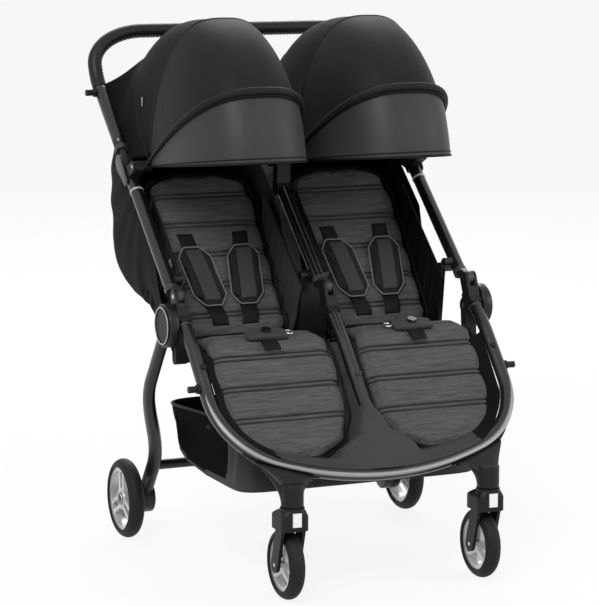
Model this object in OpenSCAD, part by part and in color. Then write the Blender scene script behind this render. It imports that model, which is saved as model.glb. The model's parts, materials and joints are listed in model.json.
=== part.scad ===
// Side by side double stroller, folding, with two reclining seats and two canopies.
// Millimetres, +Z up, the stroller faces -Y. The origin lies on the floor, centred under the part.

/* [Chassis] */
// Distance between the centres of the left and right side tubes
frame_w = 676; // [640:1:720]
// Outer diameter of the frame tubes
tube_d = 28; // [24:1:30]
// Wall of the frame tubes
tube_wall = 2; // [1:0.5:4]
// Slope of the side tubes above the floor, degrees
tube_slope = 41.5; // [39:0.5:44]
// Height of the tube line midway between the wheels
tube_z = 576; // [560:1:600]
// Length of a side tube from the fold hinge to the elbow
upper_len = 406; // [390:1:420]
// Length of a side tube from the fold hinge to the bend of the front loop
lower_len = 127; // [115:1:140]
// Slope of the front loop below its bend, degrees
loop_slope = 47.7; // [45:0.1:50]
// Length of the front loop from its bend to its front
loop_len = 330; // [318:1:345]
// Length of the straight sides of the front loop
loop_side = 120; // [110:1:130]
// Radius of the corners of the front loop
loop_corner_r = 180; // [165:1:190]
// Offset of the fold pivots from the tube line
pivot_offset = 20; // [18:1:24]

/* [Rear legs] */
// Distance from the middle of the wheelbase forward to the leg pivot
leg_pivot_front = 18; // [10:1:26]
// Height of the leg pivot
leg_pivot_z = 527; // [515:1:535]
// Width of a rear leg, seen from the side
leg_w = 36; // [30:1:42]
// Thickness of a rear leg, seen from behind
leg_t = 20; // [16:1:24]
// Diameter of the round head of a rear leg
leg_head_d = 92; // [80:1:100]
// Radius of the bends in a rear leg
leg_bend_r = 180; // [150:5:220]
// Turn of the bends in a rear leg, degrees
leg_bend = 22; // [18:1:26]
// Length of a rear leg above its bends
leg_top_run = 190; // [170:1:200]
// Diameter of the rear cross tube
cross_d = 22; // [16:1:26]
// Diameter of the brake drum on a rear leg
drum_d = 70; // [60:1:80]

/* [Wheels] */
// Diameter of a rear wheel
rear_wheel_d = 176; // [160:1:190]
// Width of a rear tyre
rear_tyre_w = 36; // [30:1:40]
// Distance between the rear wheels' centres
rear_track = 684; // [676:1:700]
// Distance from the front wheels' axle to the rear wheels' axle
wheelbase = 622; // [600:1:640]
// Diameter of a front wheel
front_wheel_d = 146; // [130:1:150]
// Width of a front tyre
front_tyre_w = 34; // [28:1:38]
// Distance between the front wheels' centres
front_track = 442; // [420:1:460]
// Distance of a front axle behind its swivel axis
caster_trail = 32; // [24:1:40]
// Thickness of the rubber of a tyre
tyre_t = 17; // [12:1:20]

/* [Handle] */
// Length of a handle tube from the elbow to its bend
handle_len = 220; // [205:1:235]
// Upward bend of the handle, degrees
handle_rise = 27; // [20:1:34]
// Radius of the handle's upward bend
handle_bend_r = 110; // [90:1:130]
// Length of the handle above its bend
handle_top = 87; // [82:1:100]
// Radius of the handle's corners
handle_corner_r = 75; // [60:1:80]
// Outer diameter of the grip
grip_d = 32; // [31:1:40]

/* [Seats] */
// Distance between the middles of the two seats
seat_pitch = 338; // [336:1:342]
// Thickness of a seat pad at its crown
pad_t = 26; // [20:1:32]
// Width of a seat pad at its widest
pad_w = 292; // [270:1:296]
// Height of a back pad along its face
back_len = 415; // [380:1:425]
// Width of a back pad
back_w = 248; // [230:1:250]
// Thickness of a back pad at its crown
back_t = 26; // [20:1:30]
// Thickness of the board inside a backrest
board_t = 8; // [5:1:10]
// Slope of a backrest above the floor, degrees
back_slope = 52.5; // [50:0.5:55]
// Width of the harness webbing
strap_w = 36; // [25:1:40]
// Width of the basket
basket_w = 548; // [500:1:556]

/* [Canopies] */
// Radius of the rear canopy panels
canopy_r = 320; // [300:1:326]
// Step in radius from one canopy panel to the next
canopy_step = 7; // [6:1:8]
// Thickness of a canopy panel
canopy_t = 3; // [2:0.5:3.5]
// Half width of a canopy over its bow
canopy_half_w = 152; // [150:1:152]

/* [Hidden] */
$fn = 64;
// Overrun of cuts
over = 1;
// Gap between pieces that are seated on each other
seat_gap = 0.3;
// Radial clearance of a running pin
run_gap = 0.05;
// Gap between pieces that move past each other
move_gap = 1;
// Hairline between the runs of one bent tube, so that each run is an exact solid
weld_gap = 0.02;

// Tube line: points in the side view, as [y, z], at a distance s up the tube and off its line
function tube_pt(s, off = 0) = [
  s * cos(tube_slope) - off * sin(tube_slope),
  tube_z + s * sin(tube_slope) + off * cos(tube_slope)
];
tube_x = frame_w / 2;
// Places along the tube line
hinge_s = -6;
elbow_s = hinge_s + upper_len;
bend_s = hinge_s - lower_len;
// Lengths of the hinge parts along the tube, either side of the pivot
bracket_back = 62;
bracket_front = 20;
knuckle_run = 40;
collar_len = 12;
collar_over_d = 3;
// Hinge parts: width over all, width of the eye, radii and pin
bracket_w = tube_d - 2;
knuckle_w = 12;
ear_r = 15;
eye_r = 15;
arm_r = 10;
slot_r = eye_r + arm_r + 2 * move_gap;
pin_d = 10;
fold_pivot = tube_pt(hinge_s, pivot_offset);
elbow_pivot = tube_pt(elbow_s, -pivot_offset);
bend_pt = tube_pt(bend_s);
// Front loop: its corner's middle, its front arc's radius and where the two arcs meet
loop_rest = loop_len - loop_side;
loop_round_share = 0.86;
loop_round = min(loop_corner_r, loop_round_share * loop_rest);
loop_corner_x = tube_x - loop_round;
loop_front_r = (pow(loop_corner_x, 2) + pow(loop_rest, 2) - pow(loop_round, 2))
  / (2 * (loop_rest - loop_round));
loop_turn = atan2(loop_front_r - loop_rest, loop_corner_x);
// Turn of the front arc that makes a hairline to each corner, degrees
loop_front_gap = 0.002;
// The easy bend between the tube line and the loop
loop_bend_r = 150;
loop_bend_run = loop_bend_r * tan((loop_slope - tube_slope) / 2);
loop_bend_mid = bend_pt - loop_bend_run * [cos(loop_slope), sin(loop_slope)]
  + loop_bend_r * [sin(loop_slope), -cos(loop_slope)];

// Rear legs
leg_pivot = [-leg_pivot_front, leg_pivot_z];
rear_axle = [wheelbase / 2, rear_wheel_d / 2];
leg_vec = rear_axle - leg_pivot;
leg_len = norm(leg_vec);
leg_angle = atan2(leg_vec.y, leg_vec.x);
leg_top_x = tube_x + tube_d / 2 + leg_t / 2 + 1.5 * move_gap;
drum_w = 38;
drum_gap = 3;
drum_x = rear_track / 2 - rear_tyre_w / 2 - drum_gap - drum_w;
foot_in = 3;
leg_foot_x = drum_x + drum_w / 2 - foot_in;
leg_slant = (leg_top_x - leg_foot_x - 2 * leg_bend_r * (1 - cos(leg_bend))) / sin(leg_bend);
head_over = 0.5;
leg_pin_d = 12;
leg_cap_t = 3;
leg_cap_d = leg_head_d - 10;
axle_d = 12;
// Share of the leg's length at which the cross tube joins it
cross_share = 0.81;
cross_pt = leg_pivot + cross_share * leg_vec;
// Lug of the hinge bracket that holds the seat cross tube
lug_r = 11;
seat_cross_d = 18;

// Front casters
caster_x = front_track / 2;
caster_y = -wheelbase / 2 - caster_trail;
front_axle = [-wheelbase / 2, front_wheel_d / 2];
post_d = 46;
post_rise = 52;
post_low = front_wheel_d + post_rise;
post_h = 62;
stem_d = 14;
crown_d = 50;
crown_gap = 7;
crown_low = front_wheel_d + crown_gap;
crown_h = post_low - crown_low - move_gap / 2;
fork_gap = 2.5;
fork_t = 7;
fork_arm_r = 16;
front_axle_d = 8;
saddle_d = 44;
saddle_turn = 7;
saddle_web = 32;
saddle_web_r = 18;
lock_w = 18;
lock_h = 28;
lock_t = 4;
lock_seat = 2;
// Point of the loop's front arc above the middle of the caster's web
saddle_from = -90 + asin(loop_corner_x / loop_front_r);
web_x = caster_x - saddle_web / 2;
web_turn = asin(web_x / loop_front_r);
loop_at_web = loop_len - loop_front_r * (1 - cos(web_turn));
loop_pt_at_web = bend_pt - loop_at_web * [cos(loop_slope), sin(loop_slope)];

// Wheels
hub_d = 40;
hub_over = 2;
hub_flange = 8;
front_hub_d = 30;
spoke_w = 9;
spoke_pair = 11;
spoke_count = 3;
rim_t = 10;
rim_inset = 5;

// Handle
handle_bend_end = [
  handle_len + handle_bend_r * sin(handle_rise),
  handle_bend_r * (1 - cos(handle_rise))
];
handle_top_pt = tube_pt(
  elbow_s + handle_bend_end.x + handle_top * cos(handle_rise),
  handle_bend_end.y + handle_top * sin(handle_rise)
);
stud_d = 14;
stud_len = 18;
stud_base_d = 20;
stud_base_len = 4;
stud_back = 12;
frame_stud_run = 96;
housing_w = 90;
housing_h = 16;
housing_depth = 26;
button_w = 34;
button_depth = 14;
button_h = 8;
button_proud = 5;
button_travel = 4;

// Seats: the top of a seat pad in the side view, from the back edge over its crest to its foot
seat_x = seat_pitch / 2;
seat_back_pt = [64, 476];
seat_crest_pt = [-82, 508];
seat_foot_pt = [-270, 275];
crest_r = 60;
seat_rise = atan2(seat_crest_pt.y - seat_back_pt.y, seat_back_pt.x - seat_crest_pt.x);
seat_fall = atan2(seat_crest_pt.y - seat_foot_pt.y, seat_crest_pt.x - seat_foot_pt.x);
crest_turn = seat_rise + seat_fall;
crest_tangent = crest_r * tan(crest_turn / 2);
seat_flat_len = norm(seat_crest_pt - seat_back_pt) - crest_tangent;
crest_len = crest_r * crest_turn * PI / 180;
seat_front_len = norm(seat_foot_pt - seat_crest_pt) - crest_tangent;
seat_len = seat_flat_len + crest_len + seat_front_len;
function seat_angle(d) =
  d < seat_flat_len ? seat_rise
  : d > seat_flat_len + crest_len ? -seat_fall
  : seat_rise - crest_turn * (d - seat_flat_len) / crest_len;
function seat_up(d) = [sin(seat_angle(d)), cos(seat_angle(d))];
function seat_along(a) = [-cos(a), sin(a)];
crest_mid = seat_back_pt + seat_flat_len * seat_along(seat_rise)
  - crest_r * [sin(seat_rise), cos(seat_rise)];
function seat_pt(d) =
  d < seat_flat_len ? seat_back_pt + d * seat_along(seat_rise)
  : d > seat_flat_len + crest_len ? seat_foot_pt - (seat_len - d) * seat_along(-seat_fall)
  : crest_mid + crest_r * seat_up(d);
// Cushion forms: rim and crown as shares of the thickness, channels, and the outline
rim_share = 0.42;
channel_depth = 7;
channel_w = 9;
edge_draw = 4;
pad_across = 14;
pad_along = 26;
seat_channels = [60, 128, 196, 268, 342];
// Half width of a seat pad at shares of its length, as shares of its full half width
seat_outline_shares = [[0, 0.82], [0.3, 0.88], [0.55, 1], [0.75, 0.97], [0.9, 0.78], [1, 0.42]];
sling_t = 3;
sling_gap = 0.5;
// The seat cross tube lies under the sling, at a distance along the seat
lug_along = 81;
lug_pt = seat_pt(lug_along)
  - (pad_t + sling_gap + sling_t + seat_gap + seat_cross_d / 2) * seat_up(lug_along);
back_base = [68, 480];
back_channels = [66, 134, 202, 270, 338];
back_outline_shares = [[0, 0.94], [0.12, 1], [0.8, 1], [0.93, 0.9], [1, 0.66]];
recline_pt = [74, 452];
recline_d = 12;
recline_plate_r = 11;
recline_plate_t = 10;
board_in = 6;
board_foot = 12;
board_foot_pt = back_base + board_foot * [cos(back_slope), sin(back_slope)]
  + (back_t + seat_gap + board_t / 2) * [sin(back_slope), -cos(back_slope)];
strap_t = 2.5;
strap_x = 46;
strap_low = 70;
strap_high = 372;
shoulder_pad_w = 58;
shoulder_pad_t = 14;
shoulder_pad_len = 128;
shoulder_pad_low = 165;
harness_gap = 0.4;
buckle_w = 96;
buckle_len = 40;
buckle_t = 20;
buckle_button_d = 20;
buckle_button_t = 6;
buckle_button_travel = 3;

// Seat buckets: side view as [y, z]
bucket_t = 2;
bucket_side_gap = 22;
bucket_out = tube_x - tube_d / 2 - bucket_side_gap;
bucket_in = 36;
bucket_fold = 2.5;
bucket_fold_pitch = 36;
bucket_front = [105, 432];
bucket_floor_len = 210;
bucket_floor_slope = 30.8;
bucket_rear = bucket_front + bucket_floor_len * [cos(bucket_floor_slope), sin(bucket_floor_slope)];
bucket_low_s = 34;
bucket_high_s = 288;

// Basket: side view as [y, z]
basket_t = 3;
basket_rear_top = [168, 322];
basket_rear_low = [60, 200];
basket_front_low = [-205, 200];
basket_front_top = [-165, 345];
basket_strap_w = 25;
basket_strap_low = 300;

// Canopies
canopy_s = 340;
canopy_off = 45;
canopy_pivot = tube_pt(canopy_s, canopy_off);
canopy_power = 2.8;
canopy_eye_r = 12;
canopy_pin_d = 8;
canopy_hole_r = 26;
canopy_rear_from = 48;
canopy_rear_to = 105;
canopy_mid_to = 149;
canopy_visor_to = 177;
canopy_lap = 2;
canopy_side_step = 4;
canopy_facets = 20;
bow_w = 16;
bow_t = 12;
stay_w = 10;
pin_end = 6;

// The box's middle along Y, between the front tyres and the fold button behind the grip
box_front = -wheelbase / 2 - front_wheel_d / 2;
box_back = handle_top_pt.x + (grip_d / 2 + housing_h + button_proud) * sin(tube_slope + handle_rise)
  + button_depth / 2 * cos(tube_slope + handle_rise);
box_mid = (box_front + box_back) / 2;

black = "#1b1b1d";
gloss = "#26262a";
silver = "#c9cacc";
charcoal = "#4a4a4d";
dark_fabric = "#2a2a2c";
rubber = "#1e1e20";
grey = "#8f9093";

// Places a piece in the part's frame
module placed(tint) {
  color(tint) translate([0, -box_mid, 0]) children();
}

// A side-view shape, [y, z], made solid from x over a width w
module side_solid(x, w) {
  translate([x, 0, 0]) rotate([90, 0, 90]) linear_extrude(w) children();
}

// A round rod along X between two places, through a side-view point
module x_rod(x0, x1, p, d) {
  translate([x0, p.x, p.y]) rotate([0, 90, 0]) cylinder(h = x1 - x0, d = d);
}

// A side-view shape in the tube line's own axes, with its origin at a place along the line
module on_tube(s) {
  translate(tube_pt(s)) rotate(tube_slope) children();
}

// A rod along the tube line
module tube_run(x, s0, s1, d) {
  p = tube_pt(s0);
  translate([x, p.x, p.y]) rotate([tube_slope - 90, 0, 0]) cylinder(h = s1 - s0, d = d);
}

// A flat bar with round ends between two points, a hairline narrower than its ends so that the lines cross
module capsule(p, q, r) {
  v = q - p;
  half = r - weld_gap;
  translate(p) circle(r);
  translate(q) circle(r);
  translate(p) rotate(atan2(v.y, v.x)) translate([0, -half]) square([norm(v), 2 * half]);
}

// Mirrored pair of a piece drawn on the +X side
module both_sides() {
  for (side = [0, 1]) mirror([side, 0, 0]) children();
}

// A tube's section
module tube_ring() {
  difference() {
    circle(d = tube_d);
    circle(d = tube_d - 2 * tube_wall);
  }
}

// A straight piece of tube along Y, a hairline short at both ends
module tube_piece(len) {
  translate([0, weld_gap, 0]) rotate([-90, 0, 0]) linear_extrude(len - 2 * weld_gap) tube_ring();
}

// A straight piece of tube up the tube line
module tube_up(x, s0, s1) {
  p = tube_pt(s0);
  translate([x, p.x, p.y]) rotate([tube_slope, 0, 0]) tube_piece(s1 - s0);
}

// The front loop's own plane, with its origin at the bend
module in_loop_plane() {
  translate([0, bend_pt.x, bend_pt.y]) rotate([loop_slope, 0, 0]) children();
}

// The bend between the tube line and the loop, at a place across
module loop_bend(x) {
  translate([x, loop_bend_mid.x, loop_bend_mid.y]) rotate([90 + tube_slope, 0, 0]) rotate([90, 0, 90])
    rotate_extrude(angle = loop_slope - tube_slope) translate([loop_bend_r, 0]) tube_ring();
}

// A swept part of the loop's corner, between two angles from its side
module loop_corner(from, to) {
  translate([loop_corner_x, -loop_side, 0]) rotate([0, 0, -to])
    rotate_extrude(angle = to - from) translate([loop_round, 0]) children();
}

// A swept part of the loop's front, between two angles
module loop_front(from, to) {
  translate([0, loop_front_r - loop_len, 0]) rotate([0, 0, from])
    rotate_extrude(angle = to - from) translate([loop_front_r, 0]) children();
}

// The loop's arcs are drawn in runs, a hairline apart
corner_runs = 2;
corner_step = loop_turn / corner_runs;
front_runs = 4;
front_from = loop_turn - 180 + loop_front_gap;
front_step = (180 - 2 * loop_turn - loop_front_gap) / front_runs;
module front_loop() {
  placed(gloss) {
    both_sides() {
      tube_up(tube_x, bend_s + loop_bend_run, hinge_s - bracket_back);
      loop_bend(tube_x);
      in_loop_plane() {
        translate([tube_x, -loop_side, 0]) tube_piece(loop_side - loop_bend_run);
        for (k = [0 : corner_runs - 1])
          loop_corner(k * corner_step, (k + 1) * corner_step - loop_front_gap) tube_ring();
      }
    }
    in_loop_plane() for (k = [0 : front_runs - 1])
      loop_front(front_from + k * front_step, front_from + (k + 1) * front_step - loop_front_gap) tube_ring();
  }
}

module centre_spar() {
  run = loop_len - tube_d / 2 - seat_gap;
  placed(gloss) {
    tube_up(0, bend_s + loop_bend_run, hinge_s - bracket_back);
    loop_bend(0);
    in_loop_plane() translate([0, -run, 0]) tube_piece(run - loop_bend_run);
  }
}

// The fixed half of a hinge on the tube line, with its pivot on the side that off_side gives
module bracket_shape(off_side) {
  translate([-bracket_back, -tube_d / 2]) square([bracket_back - bracket_front, tube_d]);
  capsule([-(bracket_back + bracket_front) / 2, 0], [0, off_side * pivot_offset], ear_r);
}

module bracket_cuts(s, x, off_side) {
  p = tube_pt(s, off_side * pivot_offset);
  x_rod(x - bracket_w, x + bracket_w, p, pin_d + 2 * run_gap);
  x_rod(x - knuckle_w / 2 - seat_gap, x + knuckle_w / 2 + seat_gap, p, 2 * slot_r);
}

// The moving half of a hinge: an eye on the pin, an arm and a collar against the tube's end
module knuckle(s, x, off_side) {
  p = tube_pt(s, off_side * pivot_offset);
  difference() {
    union() {
      side_solid(x - knuckle_w / 2, knuckle_w) on_tube(s) difference() {
        union() {
          capsule([0, off_side * pivot_offset], [knuckle_run, 0], arm_r);
          translate([0, off_side * pivot_offset]) circle(eye_r);
        }
        translate([knuckle_run, -tube_d]) square(2 * tube_d);
      }
      tube_run(x, s + knuckle_run - collar_len, s + knuckle_run, tube_d + collar_over_d);
    }
    x_rod(x - bracket_w, x + bracket_w, p, pin_d + 2 * run_gap);
  }
}

module hinge_bracket_side() {
  x = tube_x - bracket_w / 2;
  leg_at = leg_pivot;
  difference() {
    side_solid(x, bracket_w) {
      on_tube(hinge_s) bracket_shape(1);
      capsule(leg_at, tube_pt(hinge_s - (bracket_back + bracket_front) / 2), ear_r);
      capsule(leg_at, lug_pt, lug_r);
    }
    bracket_cuts(hinge_s, tube_x, 1);
    x_rod(x - over, x + bracket_w + over, leg_pivot, leg_pin_d + 2 * run_gap);
    tube_run(tube_x, bend_s, hinge_s - bracket_back, tube_d + 2 * seat_gap);
  }
}

module hinge_brackets() {
  placed(black) {
    both_sides() hinge_bracket_side();
    difference() {
      side_solid(-bracket_w / 2, bracket_w) on_tube(hinge_s) bracket_shape(1);
      bracket_cuts(hinge_s, 0, 1);
    }
  }
}

module seat_cross_tube() {
  reach = tube_x - bracket_w / 2 - seat_gap;
  placed(black) difference() {
    x_rod(-reach, reach, lug_pt, seat_cross_d);
    x_rod(-reach - over, reach + over, lug_pt, seat_cross_d - 2 * tube_wall);
  }
}

module frame_pins() {
  half = bracket_w / 2;
  placed(silver) {
    for (x = [-tube_x, 0, tube_x]) x_rod(x - half, x + half, fold_pivot, pin_d);
    both_sides() x_rod(tube_x - half, leg_top_x + leg_t / 2 + head_over - seat_gap, leg_pivot, leg_pin_d);
  }
}

// A caster bracket: a sleeve along the front of the loop, and a post on a web that is seated on it
module caster_bracket() {
  seat_d = saddle_d + 4 * seat_gap;
  in_loop_plane() loop_front(saddle_from, saddle_from + saddle_turn) difference() {
    circle(d = saddle_d);
    circle(d = tube_d + 2 * seat_gap);
  }
  difference() {
    union() {
      side_solid(caster_x - saddle_web, saddle_web)
        capsule([caster_y, post_low + post_h / 2], loop_pt_at_web, saddle_web_r);
      translate([caster_x, caster_y, post_low]) cylinder(h = post_h, d = post_d);
    }
    in_loop_plane() translate([web_x, -loop_at_web, 0]) rotate([0, 0, web_turn]) rotate([0, 90, 0])
      cylinder(h = 4 * saddle_web, d = seat_d, center = true);
    translate([caster_x, caster_y, post_low - over]) cylinder(h = post_h, d = stem_d + 2 * run_gap);
  }
}

module caster_brackets() {
  placed(black) both_sides() caster_bracket();
}

// A stud for an accessory, pointing outwards from the surface of a side tube
module stud(p) {
  x = tube_x + tube_d / 2 - stud_base_len;
  x_rod(x, x + 2 * stud_base_len, p, stud_base_d);
  x_rod(x, x + 2 * stud_base_len + stud_len, p, stud_d);
}

module frame_studs() {
  p = bend_pt - frame_stud_run * [cos(loop_slope), sin(loop_slope)];
  placed(black) both_sides() difference() {
    stud(p);
    in_loop_plane() translate([tube_x, 0, 0]) rotate([90, 0, 0]) cylinder(h = loop_side, d = tube_d + 2 * seat_gap);
  }
}

// A rear leg's middle line, as [across, along], from its pivot down to its axle on the +X side
leg_steps = 8;
function leg_line() =
  let (
    sway = leg_bend_r * (1 - cos(leg_bend)),
    rise = leg_bend_r * sin(leg_bend),
    slant = leg_slant * [sin(leg_bend), cos(leg_bend)],
    foot = leg_top_run + 2 * rise + slant.y
  )
  concat(
    [[0, 0, 0]],
    [for (k = [0 : leg_steps]) let (a = leg_bend * k / leg_steps)
      [-leg_bend_r * (1 - cos(a)), leg_top_run + leg_bend_r * sin(a), a]],
    [for (k = [leg_steps : -1 : 0]) let (a = leg_bend * k / leg_steps)
      [-2 * sway - slant.x + leg_bend_r * (1 - cos(a)), foot - leg_bend_r * sin(a), a]],
    [[-2 * sway - slant.x, leg_len, 0]]
  );

// The same run, leg_t thick across and leg_w wide
module leg_run() {
  line = leg_line();
  last = len(line) - 1;
  function edge(k, side) = [
    line[k][0] + side * leg_t / 2 * cos(line[k][2]),
    line[k][1] + side * leg_t / 2 * sin(line[k][2])
  ];
  translate([0, 0, -leg_w / 2]) linear_extrude(leg_w)
    polygon(concat([for (k = [0 : last]) edge(k, 1)], [for (k = [last : -1 : 0]) edge(k, -1)]));
}

module rear_leg() {
  difference() {
    union() {
      translate([leg_top_x, leg_pivot.x, leg_pivot.y]) rotate([leg_angle, 0, 0]) leg_run();
      x_rod(leg_top_x - leg_t / 2 - head_over, leg_top_x + leg_t / 2 + head_over, leg_pivot, leg_head_d);
      x_rod(drum_x, drum_x + drum_w, rear_axle, drum_d);
    }
    x_rod(leg_top_x - leg_t, leg_top_x + leg_t, leg_pivot, leg_pin_d + 2 * run_gap);
    x_rod(drum_x - over, drum_x + drum_w + over, rear_axle, axle_d + 2 * run_gap);
  }
}

module rear_leg_left() { placed(black) mirror([1, 0, 0]) rear_leg(); }
module rear_leg_right() { placed(black) rear_leg(); }

module rear_cross_tube() {
  reach = leg_foot_x - leg_t / 2 - seat_gap;
  placed(black) difference() {
    x_rod(-reach, reach, cross_pt, cross_d);
    x_rod(-reach - over, reach + over, cross_pt, cross_d - 2 * tube_wall);
  }
}

module rear_axles() {
  placed(silver) both_sides()
    x_rod(drum_x, rear_track / 2 + rear_tyre_w / 2 - rim_inset, rear_axle, axle_d);
}

module leg_caps() {
  x = leg_top_x + leg_t / 2 + head_over;
  placed(grey) both_sides() difference() {
    x_rod(x, x + leg_cap_t, leg_pivot, leg_cap_d);
    x_rod(x + leg_cap_t / 2, x + leg_cap_t + over, leg_pivot, leg_cap_d - 4 * leg_cap_t);
  }
}

// The brake pedal: a sleeve on the rear cross tube with a tread behind it
pedal_w = 76;
pedal_sleeve_d = cross_d + 12;
pedal_len = 58;
pedal_r = 7;
pedal_lift = 12;
module brake_pedal() {
  placed(gloss) difference() {
    union() {
      x_rod(-pedal_w / 2, pedal_w / 2, cross_pt, pedal_sleeve_d);
      side_solid(-pedal_w / 2, pedal_w) capsule(cross_pt, cross_pt + [pedal_len, pedal_lift], pedal_r);
    }
    x_rod(-pedal_w, pedal_w, cross_pt, cross_d + 2 * run_gap);
  }
}

// A wheel drawn on the X axis: rim, paired spokes and hub
module wheel_face(rim_r, hub) {
  difference() {
    circle(rim_r);
    circle(rim_r - rim_t);
  }
  circle(d = hub);
  for (turn = [0 : spoke_count - 1], v = [-1, 1])
    rotate(turn * 360 / spoke_count) translate([v * spoke_pair, 0]) translate([-spoke_w / 2, 0])
      square([spoke_w, rim_r - rim_t / 2]);
}

module rear_wheel() {
  rim_r = rear_wheel_d / 2 - tyre_t;
  x = rear_track / 2 - rear_tyre_w / 2;
  difference() {
    union() {
      side_solid(x + rim_inset, rear_tyre_w - 2 * rim_inset) translate(rear_axle) difference() {
        circle(rim_r);
        circle(rim_r - rim_t);
      }
      side_solid(x + 2 * rim_inset, rear_tyre_w - 3.5 * rim_inset) translate(rear_axle)
        wheel_face(rim_r, hub_d + hub_flange);
      x_rod(x - hub_over, x + rear_tyre_w - rim_inset, rear_axle, hub_d);
    }
    x_rod(x - over - hub_over, x + rear_tyre_w, rear_axle, axle_d + 2 * run_gap);
  }
}

module rear_wheel_left() { placed(silver) mirror([1, 0, 0]) rear_wheel(); }
module rear_wheel_right() { placed(silver) rear_wheel(); }

// A tyre's ring: a flat bore, straight walls and a round tread
module tyre(x, w, wheel_d, axle) {
  r = wheel_d / 2;
  tread_r = w / 2;
  translate([x, axle.x, axle.y]) rotate([0, 90, 0]) rotate_extrude() intersection() {
    translate([r - tyre_t, -w / 2]) square([tyre_t, w]);
    union() {
      translate([r - tread_r, 0]) circle(tread_r);
      translate([0, -w / 2]) square([r - tread_r, w]);
    }
  }
}

module rear_tyre_left() { placed(rubber) tyre(-rear_track / 2, rear_tyre_w, rear_wheel_d, rear_axle); }
module rear_tyre_right() { placed(rubber) tyre(rear_track / 2, rear_tyre_w, rear_wheel_d, rear_axle); }

module front_wheel() {
  rim_r = front_wheel_d / 2 - tyre_t;
  half = front_tyre_w / 2;
  union() {
    side_solid(caster_x - half + rim_inset, front_tyre_w - 2 * rim_inset) translate(front_axle) difference() {
      circle(rim_r);
      circle(rim_r - rim_t);
    }
    side_solid(caster_x - half + 1.5 * rim_inset, front_tyre_w - 3 * rim_inset)
      translate(front_axle) wheel_face(rim_r, front_hub_d);
    x_rod(caster_x - half - fork_gap + seat_gap, caster_x + half + fork_gap - seat_gap, front_axle, front_hub_d / 2);
    x_rod(caster_x - half - fork_gap - fork_t, caster_x + half + fork_gap + fork_t, front_axle, front_axle_d);
  }
}

module front_wheel_left() { placed(silver) mirror([1, 0, 0]) front_wheel(); }
module front_wheel_right() { placed(silver) front_wheel(); }
module front_tyre_left() { placed(rubber) tyre(-caster_x, front_tyre_w, front_wheel_d, front_axle); }
module front_tyre_right() { placed(rubber) tyre(caster_x, front_tyre_w, front_wheel_d, front_axle); }

module caster_fork() {
  inner = front_tyre_w / 2 + fork_gap;
  crown_mid = [caster_y, crown_low + crown_h / 2];
  difference() {
    union() {
      translate([caster_x, caster_y, crown_low]) cylinder(h = crown_h, d = crown_d);
      for (side = [-1, 1])
        side_solid(caster_x + side * (inner + fork_t / 2) - fork_t / 2, fork_t)
          capsule(crown_mid, front_axle, fork_arm_r);
      translate([caster_x, caster_y, crown_low + crown_h - over])
        cylinder(h = post_h - stem_d + over, d = stem_d);
    }
    x_rod(caster_x - crown_d, caster_x + crown_d, front_axle, front_axle_d + 2 * run_gap);
    translate([caster_x - lock_w / 2 - seat_gap, caster_y - crown_d, crown_low - over])
      cube([lock_w + 2 * seat_gap, crown_d / 2 + lock_seat, crown_h + 2 * over]);
  }
}

module caster_fork_left() { placed(black) mirror([1, 0, 0]) caster_fork(); }
module caster_fork_right() { placed(black) caster_fork(); }

// The swivel lock: a slider in a groove down the front of the fork's crown
module swivel_lock() {
  y = caster_y - crown_d / 2 + lock_seat - lock_t - seat_gap;
  translate([caster_x - lock_w / 2, y, crown_low + (crown_h - lock_h) / 2]) cube([lock_w, lock_t, lock_h]);
}

module swivel_lock_left() { placed(silver) mirror([1, 0, 0]) swivel_lock(); }
module swivel_lock_right() { placed(silver) swivel_lock(); }

module upper_tubes() {
  placed(gloss) {
    both_sides() tube_up(tube_x, hinge_s + knuckle_run, elbow_s - bracket_back);
    tube_up(0, hinge_s + knuckle_run, centre_top_s);
  }
}

module fold_knuckles() {
  placed(grey) for (x = [-tube_x, 0, tube_x]) knuckle(hinge_s, x, 1);
}

// Brackets at the top of the tubes: elbow ears outside, and a canopy arm on all three
centre_top_s = 292;
centre_cap_len = 24;
module canopy_brackets() {
  x = tube_x - bracket_w / 2;
  mid_w = 2 * (seat_x - canopy_half_w - move_gap);
  placed(black) {
    both_sides() difference() {
      side_solid(x, bracket_w) {
        on_tube(elbow_s) bracket_shape(-1);
        capsule(tube_pt(elbow_s - (bracket_back + bracket_front) / 2), canopy_pivot, canopy_eye_r);
      }
      bracket_cuts(elbow_s, tube_x, -1);
      x_rod(x - over, x + bracket_w + over, canopy_pivot, canopy_pin_d + 2 * run_gap);
    }
    difference() {
      side_solid(-mid_w / 2, mid_w) {
        on_tube(centre_top_s) translate([0, -tube_d / 2]) square([centre_cap_len, tube_d]);
        capsule(tube_pt(centre_top_s + canopy_eye_r), canopy_pivot, canopy_eye_r - move_gap);
      }
      x_rod(-mid_w, mid_w, canopy_pivot, canopy_pin_d + 2 * run_gap);
    }
  }
}

module upper_pins() {
  half = bracket_w / 2;
  inner = seat_x - canopy_half_w;
  reach = canopy_t + 2 * canopy_side_step + pin_end;
  placed(silver) {
    both_sides() {
      x_rod(tube_x - half, tube_x + half, elbow_pivot, pin_d);
      x_rod(seat_x + canopy_half_w - reach, tube_x + half, canopy_pivot, canopy_pin_d);
    }
    x_rod(-inner - reach, inner + reach, canopy_pivot, canopy_pin_d);
  }
}

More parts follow.
